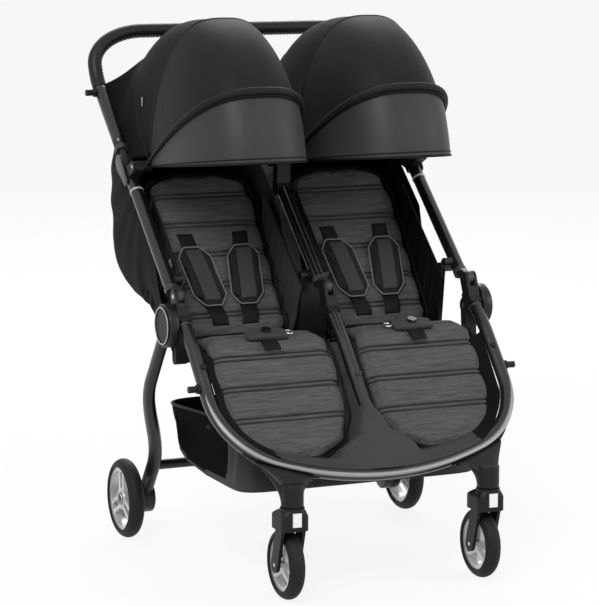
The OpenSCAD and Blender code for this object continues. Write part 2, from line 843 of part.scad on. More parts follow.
// Plates down from the upper tubes that carry the rod on which the backrests turn
recline_s = 64;
recline_top_off = -16;
module recline_frame() {
  x = bucket_out + move_gap;
  top = tube_pt(hinge_s + recline_s, recline_top_off);
  mid_w = 2 * (bucket_in - bucket_t - 2 * move_gap);
  placed(black) {
    both_sides() difference() {
      union() {
        side_solid(x, recline_plate_t) capsule(top, recline_pt, recline_plate_r);
        side_solid(x + recline_plate_t / 2, tube_x - x - recline_plate_t / 2)
          capsule(top, tube_pt(hinge_s + recline_s), recline_plate_r - move_gap);
      }
      tube_run(tube_x, hinge_s + recline_s - tube_d, hinge_s + recline_s + tube_d, tube_d + 2 * seat_gap);
    }
    difference() {
      side_solid(-mid_w / 2, mid_w) capsule(top, recline_pt, recline_plate_r);
      tube_run(0, hinge_s + recline_s - 2 * tube_d, hinge_s + recline_s + 2 * tube_d, tube_d + 2 * seat_gap);
    }
    both_sides() x_rod(mid_w / 2 - over, x + over, recline_pt, recline_d);
  }
}

// Eased reading of a table of [place, value] pairs
function table_at(table, v, i = 0) =
  i >= len(table) - 2 || v <= table[i + 1][0]
  ? table[i][1] + (table[i + 1][1] - table[i][1]) * smooth_step((v - table[i][0]) / (table[i + 1][0] - table[i][0]))
  : table_at(table, v, i + 1);
function smooth_step(t) = t * t * (3 - 2 * t);

// Depth of the sewn channels at a distance along a pad
function groove(d, lines) = channel_depth * max([for (line = lines) exp(-pow((d - line) / channel_w, 2))]);

// Crown over a pad: full in the middle, down to its rim at the edges
function crown(u, v) =
  rim_share + (1 - rim_share) * sqrt(max(0, (1 - pow(2 * u - 1, 4)) * (1 - pow(2 * v - 1, 8))));

// A closed cushion from two grids of points: its top and its underside
module cushion(nu, nv, top, under) {
  row = nu + 1;
  low = row * (nv + 1);
  points = concat(
    [for (j = [0 : nv], i = [0 : nu]) top(i / nu, j / nv)],
    [for (j = [0 : nv], i = [0 : nu]) under(i / nu, j / nv)]
  );
  cells = [for (j = [0 : nv - 1], i = [0 : nu - 1]) j * row + i];
  rim = concat(
    [for (i = [0 : nu - 1]) [i, i + 1]],
    [for (j = [0 : nv - 1]) [j * row + nu, (j + 1) * row + nu]],
    [for (i = [nu : -1 : 1]) [nv * row + i, nv * row + i - 1]],
    [for (j = [nv : -1 : 1]) [j * row, (j - 1) * row]]
  );
  faces = concat(
    [for (a = cells) each [[a, a + row, a + 1], [a + 1, a + row, a + row + 1]]],
    [for (a = cells) each [[low + a, low + a + 1, low + a + row], [low + a + 1, low + a + row + 1, low + a + row]]],
    [for (e = rim) each [[e[0], e[1], low + e[0]], [e[1], low + e[1], low + e[0]]]]
  );
  polyhedron(points, faces);
}

// A seat pad, on the +X side: it runs from the bite over the crest and down the front
module seat_pad() {
  function half(v) = pad_w / 2 * table_at(seat_outline_shares, v)
    - edge_draw * groove(v * seat_len, seat_channels) / channel_depth;
  function lift(u, v) = pad_t * crown(u, v) - groove(v * seat_len, seat_channels) * crown(u, v);
  function at(u, v, h) =
    let (d = v * seat_len, p = seat_pt(d) + (h - pad_t) * seat_up(d))
    [seat_x + half(v) * (2 * u - 1), p.x, p.y];
  cushion(pad_across, pad_along,
    function(u, v) at(u, v, lift(u, v)),
    function(u, v) at(u, v, 0));
}

module seat_pad_left() { placed(charcoal) mirror([1, 0, 0]) seat_pad(); }
module seat_pad_right() { placed(charcoal) seat_pad(); }

// The sling under both pads, from tube to tube
sling_steps = 24;
sling_start = 18;
module seat_sling() {
  w = frame_w - tube_d - 2 * seat_gap;
  function line(depth) = [
    for (k = [0 : sling_steps])
      let (d = sling_start + (seat_len - sling_start) * k / sling_steps)
      seat_pt(d) - (pad_t + depth) * seat_up(d)
  ];
  top = line(sling_gap);
  under = line(sling_gap + sling_t);
  placed(dark_fabric) intersection() {
    side_solid(-w / 2, w) polygon(concat(top, [for (k = [sling_steps : -1 : 0]) under[k]]));
    sling_plan();
  }
}

// The sling's outline seen along the loop: inside the tube, with round front corners
module sling_plan() {
  inner = tube_d / 2 + seat_gap;
  depth = 2 * loop_len;
  translate([0, bend_pt.x, bend_pt.y]) rotate([loop_slope, 0, 0]) translate([0, 0, -depth])
    linear_extrude(2 * depth) {
      translate([-tube_x + inner, -loop_side]) square([2 * (tube_x - inner), 2 * loop_len]);
      intersection() {
        translate([-tube_x, -2 * loop_len]) square([frame_w, 2 * loop_len]);
        translate([0, loop_front_r - loop_len]) circle(loop_front_r - inner);
        union() {
          for (side = [-1, 1]) translate([side * loop_corner_x, -loop_side]) circle(loop_round - inner);
          translate([-loop_corner_x, -2 * loop_len]) square([2 * loop_corner_x, 2 * loop_len]);
        }
      }
    }
}

// A buckle in its padded cover, lying across the crest of a seat
buckle_seat_share = 0.5;
buckle_across = 8;
buckle_along = 6;
module at_crest(rise) {
  d = seat_flat_len + crest_len * buckle_seat_share;
  p = seat_pt(d) + rise * seat_up(d);
  translate([seat_x, p.x, p.y]) rotate([-seat_angle(d), 0, 0]) children();
}

module buckle() {
  function at(u, v, h) = [buckle_w * (u - 0.5), buckle_len * (v - 0.5), h];
  difference() {
    at_crest(harness_gap) cushion(buckle_across, buckle_along,
      function(u, v) at(u, v, buckle_t * crown(u, v)),
      function(u, v) at(u, v, 0));
    at_crest(buckle_t - buckle_button_t - buckle_button_travel)
      cylinder(h = buckle_t, d = buckle_button_d + 2 * run_gap);
  }
}

module buckle_button() {
  at_crest(buckle_t - buckle_button_t + buckle_button_travel / 2)
    cylinder(h = buckle_button_t, d = buckle_button_d);
}

module buckle_left() { placed(black) mirror([1, 0, 0]) buckle(); }
module buckle_right() { placed(black) buckle(); }
module buckle_button_left() { placed(gloss) mirror([1, 0, 0]) buckle_button(); }
module buckle_button_right() { placed(gloss) buckle_button(); }

// A backrest's own axes: X across from the seat's middle, Y up its face, Z out of its face
module on_back() {
  translate([seat_x, back_base.x, back_base.y]) rotate([back_slope, 0, 0]) children();
}

module back_pad() {
  function half(v) = back_w / 2 * table_at(back_outline_shares, v)
    - edge_draw * groove(v * back_len, back_channels) / channel_depth;
  function lift(u, v) = back_t * crown(u, v) - groove(v * back_len, back_channels) * crown(u, v);
  function at(u, v, h) = [half(v) * (2 * u - 1), back_len * v, h - back_t];
  on_back() cushion(pad_across, pad_along,
    function(u, v) at(u, v, lift(u, v)),
    function(u, v) at(u, v, 0));
}

module back_pad_left() { placed(charcoal) mirror([1, 0, 0]) back_pad(); }
module back_pad_right() { placed(charcoal) back_pad(); }

// The stiff board behind a back pad, with an eye round the recline rod at its foot
module back_board() {
  low = -back_t - seat_gap - board_t;
  corner = back_w / 8;
  w = back_w - 2 * board_in;
  difference() {
    union() {
      on_back() translate([0, 0, low]) linear_extrude(board_t) {
        translate([-w / 2, 0]) square([w, back_len - corner]);
        for (side = [-1, 1]) translate([side * (w / 2 - corner), back_len - corner]) circle(corner);
        translate([corner - w / 2, 0]) square([w - 2 * corner, back_len]);
      }
      difference() {
        side_solid(seat_x - w / 2 + move_gap, w - 2 * move_gap)
          capsule(recline_pt, board_foot_pt, recline_plate_r - move_gap);
        on_back() translate([-back_w, -seat_gap, -back_t - seat_gap - board_t / 4])
          cube([2 * back_w, 2 * back_w, back_w]);
      }
    }
    x_rod(seat_x - back_w, seat_x + back_w, recline_pt, recline_d + 2 * run_gap);
  }
}

module back_board_left() { placed(black) mirror([1, 0, 0]) back_board(); }
module back_board_right() { placed(black) back_board(); }

// Shoulder straps flat on the back pad, each through a padded sleeve
shoulder_across = 8;
shoulder_along = 8;
module harness() {
  function at(u, v, h) = [
    shoulder_pad_w * (u - 0.5),
    shoulder_pad_low + shoulder_pad_len * v,
    h + harness_gap
  ];
  on_back() for (side = [-1, 1]) translate([side * strap_x, 0, 0]) {
    difference() {
      cushion(shoulder_across, shoulder_along,
        function(u, v) at(u, v, shoulder_pad_t * crown(u, v)),
        function(u, v) at(u, v, 0));
      translate([-strap_w / 2, 0, 2 * harness_gap])
        cube([strap_w, back_len, strap_t]);
    }
    translate([-strap_w / 2, strap_low, 2 * harness_gap]) cube([strap_w, strap_high - strap_low, strap_t]);
  }
}

module harness_left() { placed(black) mirror([1, 0, 0]) harness(); }
module harness_right() { placed(black) harness(); }

// A fabric bucket round the foot of a backrest: folded side walls and a floor, open behind
function bucket_line() = [
  tube_pt(hinge_s + bucket_low_s, -tube_d / 2),
  tube_pt(hinge_s + bucket_high_s, -tube_d / 2),
  bucket_rear,
  bucket_front
];

// A wall with upright folds, seen from above, along Y
module folded_wall(x, inward) {
  n = ceil(2 * bucket_rear.x / bucket_fold_pitch);
  top = tube_pt(hinge_s + bucket_high_s);
  function bend(k) = inward * bucket_fold * (1 - cos(k * 180));
  linear_extrude(top.y) polygon(concat(
    [for (k = [0 : n]) [x + bend(k) / 2, k * bucket_fold_pitch / 2]],
    [for (k = [n : -1 : 0]) [x + inward * bucket_t + bend(k) / 2, k * bucket_fold_pitch / 2]]
  ));
}

module seat_bucket() {
  line = bucket_line();
  w = bucket_out - bucket_in;
  intersection() {
    side_solid(bucket_in - over, w + 2 * over) polygon(line);
    union() {
      folded_wall(bucket_out, -1);
      folded_wall(bucket_in, 1);
      side_solid(bucket_in + bucket_t / 2, w - bucket_t)
        translate(bucket_front) rotate(bucket_floor_slope) translate([-over, -over])
          square([bucket_floor_len + 2 * over, bucket_t + over]);
    }
  }
  side_solid(bucket_out - 3 * bucket_t, tube_x - bucket_out + 3 * bucket_t) flange_shape();
  side_solid(move_gap, bucket_in + 3 * bucket_t - move_gap) flange_shape();
}

module flange_shape() {
  on_tube(hinge_s) translate([recline_s + 2 * recline_plate_r, -tube_d / 2 - seat_gap - bucket_t])
    square([bucket_high_s - recline_s - 2 * recline_plate_r, bucket_t]);
}

module seat_bucket_left() { placed(dark_fabric) mirror([1, 0, 0]) seat_bucket(); }
module seat_bucket_right() { placed(dark_fabric) seat_bucket(); }

// The basket: an open tub under the seats, hung from the seat cross tube by two straps
module basket() {
  line = [basket_rear_top, basket_rear_low, basket_front_low, basket_front_top];
  inner = [
    basket_rear_top + [-basket_t, basket_t],
    basket_rear_low + [-basket_t, basket_t],
    basket_front_low + [basket_t, basket_t],
    basket_front_top + [basket_t, basket_t]
  ];
  placed(black) {
    difference() {
      side_solid(-basket_w / 2, basket_w) polygon(line);
      side_solid(-basket_w / 2 + basket_t, basket_w - 2 * basket_t) polygon(inner);
    }
    both_sides() side_solid(basket_w / 2 - basket_t, basket_t)
      translate([lug_pt.x - basket_strap_w / 2, basket_strap_low])
        square([basket_strap_w, lug_pt.y - seat_cross_d / 2 - seat_gap - basket_strap_low]);
  }
}

// Points of a canopy panel's outline, [r, x], from its outer tip over the crown to the other
function canopy_arc(half, r, low) = [
  for (k = [0 : canopy_facets])
    let (
      tip = acos(pow(low / r, canopy_power / 2)),
      t = tip * (2 * k / canopy_facets - 1)
    )
    [r * pow(max(0, cos(t)), 2 / canopy_power), half * sign(t) * pow(abs(sin(t)), 2 / canopy_power)]
];

// A band between two such outlines, thin at the sides and with its own thickness at the crown
module canopy_ring(half, r, t, crown_t, low) {
  outer = canopy_arc(half, r, low);
  inner = canopy_arc(half - t, r - crown_t, low);
  polygon(concat(outer, [for (k = [canopy_facets : -1 : 0]) inner[k]]));
}

// A canopy panel swept about the pivot from one angle to another, as seen from the +X side
module canopy_sweep(from, to) {
  translate([seat_x, canopy_pivot.x, canopy_pivot.y]) rotate([from, 0, 0]) rotate([90, 0, 90])
    rotate_extrude(angle = to - from) children();
}

// A stay across a canopy at one angle, with an eye on the pivot at each end
module canopy_stay(half, r, t, crown_t, w, angle) {
  difference() {
    translate([seat_x, canopy_pivot.x, canopy_pivot.y]) rotate([angle, 0, 0]) {
      translate([0, 0, -w / 2]) linear_extrude(w) rotate(90) canopy_ring(half, r, t, crown_t, 0);
      for (side = [-1, 1]) translate([side * (half - t / 2), 0, 0]) rotate([0, 90, 0])
        cylinder(h = t, r = canopy_eye_r, center = true);
    }
    x_rod(0, 2 * seat_x, canopy_pivot, canopy_pin_d + 2 * run_gap);
  }
}

// A canopy panel with its stay: step 0 is the rear one, 1 the middle one and 2 the visor
module canopy_panel(step, from, to, stay_at) {
  half = canopy_half_w - (3 - step) * canopy_side_step;
  r = canopy_r + step * canopy_step;
  canopy_sweep(from, to) canopy_ring(half, r, canopy_t, canopy_t, canopy_hole_r);
  canopy_stay(half, r, canopy_t, canopy_t, stay_w, stay_at);
}

module canopy_rear() { canopy_panel(0, canopy_rear_from, canopy_rear_to, canopy_rear_from); }
module canopy_mid() { canopy_panel(1, canopy_rear_to - canopy_lap, canopy_mid_to, canopy_mid_to); }
module canopy_visor() { canopy_panel(2, canopy_mid_to - canopy_lap, canopy_visor_to, canopy_visor_to); }

// The padded bow over the seam of the visor
module canopy_bow() {
  r = canopy_r + 2 * canopy_step + seat_gap;
  canopy_stay(canopy_half_w, r + bow_t, canopy_side_step - seat_gap, bow_t, bow_w, canopy_mid_to);
}

module canopy_rear_left() { placed(black) mirror([1, 0, 0]) canopy_rear(); }
module canopy_rear_right() { placed(black) canopy_rear(); }
module canopy_mid_left() { placed(dark_fabric) mirror([1, 0, 0]) canopy_mid(); }
module canopy_mid_right() { placed(dark_fabric) canopy_mid(); }
module canopy_visor_left() { placed(charcoal) mirror([1, 0, 0]) canopy_visor(); }
module canopy_visor_right() { placed(charcoal) canopy_visor(); }
module canopy_bow_left() { placed(dark_fabric) mirror([1, 0, 0]) canopy_bow(); }
module canopy_bow_right() { placed(dark_fabric) canopy_bow(); }

// The handle's own axes: X across, Y up along the tube line from the elbow, Z off its front
module at_elbow() {
  p = tube_pt(elbow_s);
  translate([0, p.x, p.y]) rotate([tube_slope, 0, 0]) children();
}

module above_bend() {
  at_elbow() translate([0, handle_bend_end.x, handle_bend_end.y]) rotate([handle_rise, 0, 0]) children();
}

// The handle above the start of its bend: bends, short straights, corners and the bar, by section
module handle_bow() {
  side = tube_x - handle_corner_r;
  run = handle_top - handle_corner_r;
  at_elbow() both_sides() translate([tube_x, handle_len, handle_bend_r]) rotate([-90, 0, 0]) rotate([90, 0, 90])
    rotate_extrude(angle = handle_rise) translate([handle_bend_r, 0]) children();
  above_bend() {
    both_sides() {
      translate([tube_x, weld_gap, 0]) rotate([-90, 0, 0]) linear_extrude(run - 2 * weld_gap) children();
      translate([side, run, 0]) rotate_extrude(angle = 90) translate([handle_corner_r, 0]) children();
    }
    translate([-side + weld_gap, handle_top, 0]) rotate([0, 90, 0])
      linear_extrude(2 * side - 2 * weld_gap) children();
  }
}

module handle_tube() {
  placed(gloss) {
    both_sides() tube_up(tube_x, elbow_s + knuckle_run, elbow_s + handle_len);
    handle_bow() tube_ring();
  }
}

module handle_grip() {
  placed(black) handle_bow() difference() {
    circle(d = grip_d);
    circle(d = tube_d + 2 * seat_gap);
  }
}

module handle_elbows() {
  placed(grey) both_sides() knuckle(elbow_s, tube_x, -1);
}

module handle_studs() {
  s = elbow_s + handle_len - stud_back;
  placed(black) both_sides() difference() {
    stud(tube_pt(s));
    tube_run(tube_x, s - tube_d, s + tube_d, tube_d + 2 * seat_gap);
  }
}

// The housing of the fold button, behind the middle of the grip
module release_housing() {
  placed(black) above_bend() translate([0, handle_top, 0]) difference() {
    translate([-housing_w / 2, -housing_depth / 2, -grip_d / 2 - housing_h])
      cube([housing_w, housing_depth, grip_d / 2 + housing_h]);
    rotate([0, 90, 0]) cylinder(h = 2 * housing_w, d = grip_d + 2 * seat_gap, center = true);
    translate([-button_w / 2 - seat_gap, -button_depth / 2 - seat_gap, -grip_d / 2 - housing_h - over])
      cube([button_w + 2 * seat_gap, button_depth + 2 * seat_gap, button_h + over]);
  }
}

module fold_button() {
  placed(grey) above_bend()
    translate([-button_w / 2, handle_top - button_depth / 2, -grip_d / 2 - housing_h - button_proud])
      cube([button_w, button_depth, button_h]);
}

front_loop();
centre_spar();
hinge_brackets();
seat_cross_tube();
frame_pins();
caster_brackets();
frame_studs();
seat_sling();
seat_pad_left();
seat_pad_right();
buckle_left();
buckle_right();
buckle_button_left();
buckle_button_right();
basket();
rear_leg_left();
rear_leg_right();
rear_cross_tube();
rear_axles();
leg_caps();
brake_pedal();
upper_tubes();
fold_knuckles();
canopy_brackets();
upper_pins();
recline_frame();
seat_bucket_left();
seat_bucket_right();
handle_tube();
handle_grip();
handle_elbows();
handle_studs();
release_housing();
fold_button();
back_pad_left();
back_pad_right();
back_board_left();
back_board_right();
harness_left();
harness_right();
canopy_rear_left();
canopy_rear_right();
canopy_mid_left();
canopy_mid_right();
canopy_visor_left();
canopy_visor_right();
canopy_bow_left();
canopy_bow_right();
caster_fork_left();
caster_fork_right();
swivel_lock_left();
swivel_lock_right();
front_wheel_left();
front_wheel_right();
front_tyre_left();
front_tyre_right();
rear_wheel_left();
rear_wheel_right();
rear_tyre_left();
rear_tyre_right();
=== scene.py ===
"""Looks of a folding side-by-side double stroller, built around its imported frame."""
import json
import logging
import math
from dataclasses import dataclass, field
from enum import Enum
from functools import partial
from typing import Callable, Optional, Sequence

import bmesh
import bpy
from mathutils import Matrix, Vector, noise
from mathutils.bvhtree import BVHTree


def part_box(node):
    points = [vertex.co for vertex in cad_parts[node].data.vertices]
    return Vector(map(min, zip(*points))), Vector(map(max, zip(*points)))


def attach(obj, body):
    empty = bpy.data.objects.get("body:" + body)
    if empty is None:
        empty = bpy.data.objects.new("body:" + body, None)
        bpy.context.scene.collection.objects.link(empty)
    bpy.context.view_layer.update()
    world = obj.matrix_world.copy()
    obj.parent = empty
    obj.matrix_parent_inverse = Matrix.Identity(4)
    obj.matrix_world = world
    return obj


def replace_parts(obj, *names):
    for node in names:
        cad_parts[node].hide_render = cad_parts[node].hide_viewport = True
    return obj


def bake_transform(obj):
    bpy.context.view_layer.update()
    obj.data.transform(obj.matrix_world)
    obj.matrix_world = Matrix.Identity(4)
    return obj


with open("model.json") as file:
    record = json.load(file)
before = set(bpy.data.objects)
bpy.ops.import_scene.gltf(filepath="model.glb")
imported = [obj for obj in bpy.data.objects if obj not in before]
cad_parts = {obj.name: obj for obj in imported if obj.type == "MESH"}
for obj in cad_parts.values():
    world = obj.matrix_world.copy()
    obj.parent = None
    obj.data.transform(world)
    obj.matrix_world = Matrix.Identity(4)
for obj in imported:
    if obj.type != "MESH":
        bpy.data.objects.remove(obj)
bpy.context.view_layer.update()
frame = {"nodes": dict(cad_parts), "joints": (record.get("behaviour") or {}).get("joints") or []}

LOG = logging.getLogger("stroller")
BMesh = bmesh.types.BMesh
Object = bpy.types.Object
Socket = bpy.types.NodeSocket
Size = float | Callable[[float], float]
Flat = tuple[float, float]
Table = tuple[Flat, ...]
Place = Callable[[float, float], Vector]
Solid = Callable[[float, float, float], Vector]
JOINTS = {joint["name"]: joint for joint in frame["joints"]}
MM = 0.001
ACROSS = Vector((1, 0, 0))
UP = Vector((0, 0, 1))


def joint_at(name: str) -> Vector:
    """Pivot of a joint, by its name in the record."""
    return Vector(JOINTS[name]["pos_m"])


class Side(Enum):
    """The two halves of the stroller, by the sign of X."""

    LEFT = -1
    RIGHT = 1

    @property
    def word(self) -> str:
        """Ending of the names on this side."""
        return self.name.lower()


class Grain(Enum):
    """The kinds of surface detail that the finishes have."""

    MOULDED = "moulded"
    COATED = "coated"
    RUBBER = "rubber"
    LEATHER = "leather"
    WEAVE = "weave"
    SLUB = "slub"
    WEBBING = "webbing"
    MESH = "mesh"


@dataclass(frozen=True)
class Finish:
    """A finish of the stroller, made into one material when it is first used.

    The colour varies between two shades, and roughness and bump follow the grain.
    """

    name: str
    slot: str
    shade: tuple[float, float, float]
    shade_light: tuple[float, float, float]
    grain: Grain
    roughness: float
    roughness_span: float = 0.08
    metallic: float = 0.0
    sheen: float = 0.0
    sheen_roughness: float = 0.5
    coat: float = 0.0
    specular: float = 0.5
    bump: float = 0.2
    depth: float = 0.0004
    edge: float = 0.0
    # Share by which painted shade darkens the colour in the creases of the sewn seams.
    crease: float = 0.0

    def material(self) -> bpy.types.Material:
        """The one material that all pieces of this finish share."""
        made = bpy.data.materials.get(self.name)
        return made if made else GrainNodes(self).build()


class Nodes:
    """A node tree that is filled from empty."""

    def __init__(self, holder: bpy.types.ID) -> None:
        """Takes over the tree of a new material or world.

        Args:
            holder: The material or world.
        """
        holder.use_nodes = True
        self.tree = holder.node_tree
        self.tree.nodes.clear()

    def node(self, kind: str, **values: object) -> bpy.types.Node:
        """Adds a node and sets its values.

        Args:
            kind: Blender's name of the node.
            values: Values or links of its inputs, by name with spaces as underscores, or properties.

        Returns:
            The new node.
        """
        made = self.tree.nodes.new(kind)
        for key, value in values.items():
            socket = key.replace("_", " ")
            if isinstance(value, Socket):
                self.link(value, made.inputs[socket])
            elif socket in made.inputs:
                made.inputs[socket].default_value = value
            else:
                setattr(made, key, value)
        return made

    def link(self, out: Socket, into: Socket) -> None:
        """Joins two sockets."""
        self.tree.links.new(out, into)

    def joined(self, first: Socket, second: Socket | float, operation: str) -> Socket:
        """Two values joined by a math operation.

        Args:
            first: First value.
            second: Second value.
            operation: Blender's name of the operation.

        Returns:
            The result's socket.
        """
        made = self.node("ShaderNodeMath", operation=operation)
        self.link(first, made.inputs[0])
        if isinstance(second, float):
            made.inputs[1].default_value = second
        else:
            self.link(second, made.inputs[1])
        return made.outputs["Value"]

    def seen_rays(self) -> Socket:
        """Share that is one where a surface is seen, straight or in metal or glass.

        Returns:
            The share's socket.
        """
        path = self.node("ShaderNodeLightPath")
        seen = path.outputs["Is Camera Ray"]
        for ray in ("Is Glossy Ray", "Is Transmission Ray"):
            seen = self.joined(seen, path.outputs[ray], "MAXIMUM")
        return seen

    def show(self, share: Socket, lit: Socket, seen: Socket, output: str) -> None:
        """Mixes two shaders into the tree's output.

        Args:
            share: Share of the second shader.
            lit: First shader, which lights or is lit.
            seen: Second shader, which is seen.
            output: Blender's name of the output node.
        """
        mix = self.node("ShaderNodeMixShader", Fac=share)
        self.link(lit, mix.inputs[1])
        self.link(seen, mix.inputs[2])
        self.node(output, Surface=mix.outputs["Shader"])


class GrainNodes(Nodes):
    """Builds the node tree of one finish."""

    def __init__(self, finish: Finish) -> None:
        """Starts an empty material.

        Args:
            finish: The finish that the material shows.
        """
        self.finish = finish
        self.material = bpy.data.materials.new(finish.name)
        super().__init__(self.material)
        self.coord = self.node("ShaderNodeTexCoord")

    def mapped(self, scale: Sequence[float], turn: Sequence[float] = (0, 0, 0)) -> Socket:
        """Object coordinates, scaled along each axis and turned by degrees."""
        return self.node("ShaderNodeMapping", Scale=scale, Rotation=[math.radians(a) for a in turn],
                         Vector=self.coord.outputs["Object"]).outputs["Vector"]

    def noise(self, scale: Sequence[float], detail: float = 3.0, rough: float = 0.55) -> Socket:
        """Noise stretched by the axes' scales, with its octaves and the weight of the finer ones."""
        return self.node("ShaderNodeTexNoise", Scale=1.0, Detail=detail, Roughness=rough,
                         Vector=self.mapped(scale)).outputs["Fac"]

    def bands(self, axis: str, scale: float, turn: Sequence[float] = (0, 0, 0)) -> Socket:
        """Fine parallel threads that cross an axis, with their scale and their turn in degrees."""
        return self.node("ShaderNodeTexWave", wave_type="BANDS", bands_direction=axis, Scale=scale,
                         Distortion=0.6, Detail=1.0, Detail_Scale=0.6,
                         Vector=self.mapped((1, 1, 1), turn)).outputs["Fac"]

    def height(self) -> Socket:
        """Height pattern of the grain.

        Returns:
            The height's socket.
        """
        grain = self.finish.grain
        if grain is Grain.SLUB:
            return self.joined(self.noise((38, 620, 620), 4.0, 0.7), self.bands("X", 150.0), "ADD")
        if grain is Grain.WEAVE:
            return self.joined(self.bands("X", 190.0), self.bands("Z", 190.0, (24, 0, 0)), "ADD")
        if grain is Grain.WEBBING:
            return self.joined(self.bands("X", 120.0), self.bands("Z", 95.0, (-40, 0, 0)), "MULTIPLY")
        if grain is Grain.MESH:
            slant = self.bands("X", 85.0, (0, 0, 45))
            return self.joined(slant, self.bands("Z", 85.0, (0, 45, 0)), "MULTIPLY")
        if grain is Grain.LEATHER:
            return self.node("ShaderNodeTexVoronoi", feature="F1", Scale=420.0,
                             Vector=self.coord.outputs["Object"]).outputs["Distance"]
        fine = {Grain.RUBBER: (420, 4.0), Grain.MOULDED: (1400, 2.0), Grain.COATED: (160, 1.0)}
        scale, detail = fine[grain]
        return self.noise((scale, scale, scale), detail)

    def tone(self) -> Socket:
        """Pattern that the colour follows.

        Returns:
            A value from 0, the dark shade, to 1, the light shade.
        """
        if self.finish.grain is Grain.SLUB:
            return self.node("ShaderNodeMapRange", From_Min=0.34, From_Max=0.66,
                             Value=self.noise((17, 420, 420), 6.0, 0.8)).outputs["Result"]
        if self.finish.grain in (Grain.WEAVE, Grain.WEBBING, Grain.MESH):
            return self.joined(self.noise((700, 700, 700), 2.0), self.noise((9, 9, 9), 3.0), "MULTIPLY")
        return self.noise((14, 14, 14), 4.0)

    def mixed(self, share: Socket, first: object, second: object) -> Socket:
        """Colour between two, each of them a socket or a plain colour.

        Args:
            share: Share of the second colour.
            first: First colour.
            second: Second colour.

        Returns:
            The colour's socket.
        """
        mix = self.node("ShaderNodeMix", data_type="RGBA", Factor=share)
        for letter, value in (("A", first), ("B", second)):
            socket = next(s for s in mix.inputs if s.type == "RGBA" and s.identifier.startswith(letter))
            if isinstance(value, tuple):
                socket.default_value = (*value, 1)
            else:
                self.link(value, socket)
        return next(s for s in mix.outputs if s.type == "RGBA")

    def creased(self, colour: Socket) -> Socket:
        """Darkens a colour with painted shade in the creases of the sewn seams, by a mask that the pads keep as
        an attribute.

        Args:
            colour: Colour of the cloth.

        Returns:
            The darkened colour's socket.
        """
        seam = self.node("ShaderNodeAttribute", attribute_name="seam")
        depth = self.joined(seam.outputs["Fac"], self.finish.crease, "MULTIPLY")
        return self.mixed(depth, colour, tuple(0.25 * c for c in self.finish.shade))

    def build(self) -> bpy.types.Material:
        """Joins the nodes.

        Returns:
            The finished material.
        """
        f = self.finish
        tone = self.tone()
        colour = self.mixed(tone, f.shade, f.shade_light)
        # Painted shade in the creases of the pads' sewn seams.
        if f.crease:
            colour = self.creased(colour)
        spread = self.node("ShaderNodeMapRange", To_Min=max(0.03, f.roughness - f.roughness_span),
                           To_Max=min(1.0, f.roughness + f.roughness_span), Value=tone)
        bump = self.node("ShaderNodeBump", Strength=f.bump, Distance=f.depth, Height=self.height())
        if f.edge:
            rounded = self.node("ShaderNodeBevel", samples=4, Radius=f.edge)
            self.link(rounded.outputs["Normal"], bump.inputs["Normal"])
        shader = self.node("ShaderNodeBsdfPrincipled", Base_Color=colour, Roughness=spread.outputs["Result"],
                           Normal=bump.outputs["Normal"], Metallic=f.metallic, Specular_IOR_Level=f.specular,
                           Sheen_Weight=f.sheen, Sheen_Roughness=f.sheen_roughness, Coat_Weight=f.coat,
                           Coat_Roughness=0.12)
        self.node("ShaderNodeOutputMaterial", Surface=shader.outputs["BSDF"])
        return self.material


GLOSS_TUBE = Finish("gloss_black_tube", "tube_black", (0.004, 0.004, 0.0045), (0.007, 0.007, 0.008),
                    Grain.COATED, 0.27, 0.05, specular=0.42, coat=0.25, bump=0.05, depth=0.0002)
SATIN_TUBE = Finish("satin_black_leg", "tube_black", (0.004, 0.004, 0.0045), (0.008, 0.008, 0.008),
                    Grain.COATED, 0.36, 0.06, specular=0.28, coat=0.08, bump=0.06, depth=0.0002, edge=0.0025)
BLACK_PLASTIC = Finish("satin_black_plastic", "plastic_black", (0.005, 0.005, 0.0055), (0.010, 0.010, 0.010),
                       Grain.MOULDED, 0.46, 0.08, specular=0.22, bump=0.12, depth=0.0002, edge=0.0016)
GUNMETAL = Finish("gunmetal_plastic", "plastic_grey", (0.035, 0.036, 0.039), (0.055, 0.056, 0.060),
                  Grain.MOULDED, 0.34, 0.06, metallic=0.35, specular=0.4, bump=0.08, depth=0.0002,
                  edge=0.0012)
PALE_RING = Finish("pale_grey_ring", "plastic_grey", (0.36, 0.365, 0.37), (0.46, 0.465, 0.47),
                   Grain.MOULDED, 0.34, 0.06, metallic=0.2, bump=0.06, depth=0.0001)
GLOSS_PLASTIC = Finish("gloss_black_plastic", "plastic_gloss", (0.005, 0.005, 0.005), (0.009, 0.009, 0.009),
                       Grain.COATED, 0.18, 0.05, specular=0.4, coat=0.25, bump=0.04, depth=0.0001)
STEEL = Finish("bright_steel", "steel", (0.50, 0.50, 0.50), (0.66, 0.66, 0.66),
               Grain.COATED, 0.24, 0.08, metallic=1.0, bump=0.05, depth=0.0001)
# Painted highlight: a silver strip along the loop's front stands for the highlight on its gloss tube.
SILVER_HIGHLIGHT_STRIP = Finish("satin_silver_trim", "steel", (0.24, 0.24, 0.25), (0.32, 0.32, 0.33),
                     Grain.COATED, 0.44, 0.06, metallic=0.6, bump=0.05, depth=0.0001)
SILVER_RIM = Finish("silver_rim", "wheel_silver", (0.52, 0.53, 0.54), (0.66, 0.67, 0.68),
                    Grain.MOULDED, 0.30, 0.06, metallic=0.55, specular=0.6, bump=0.05, depth=0.0001,
                    edge=0.0012)
WHITE_TAG = Finish("white_tag", "wheel_silver", (0.74, 0.74, 0.74), (0.84, 0.84, 0.84),
                   Grain.MOULDED, 0.42, 0.05, bump=0.05, depth=0.0001)
TYRE = Finish("black_tyre", "tyre", (0.006, 0.006, 0.006), (0.014, 0.014, 0.014),
              Grain.RUBBER, 0.62, 0.1, specular=0.2, bump=0.35, depth=0.0004)
GRIP = Finish("stitched_grip", "grip", (0.004, 0.004, 0.004), (0.009, 0.009, 0.009),
              Grain.LEATHER, 0.42, 0.08, specular=0.25, bump=0.3, depth=0.0005)
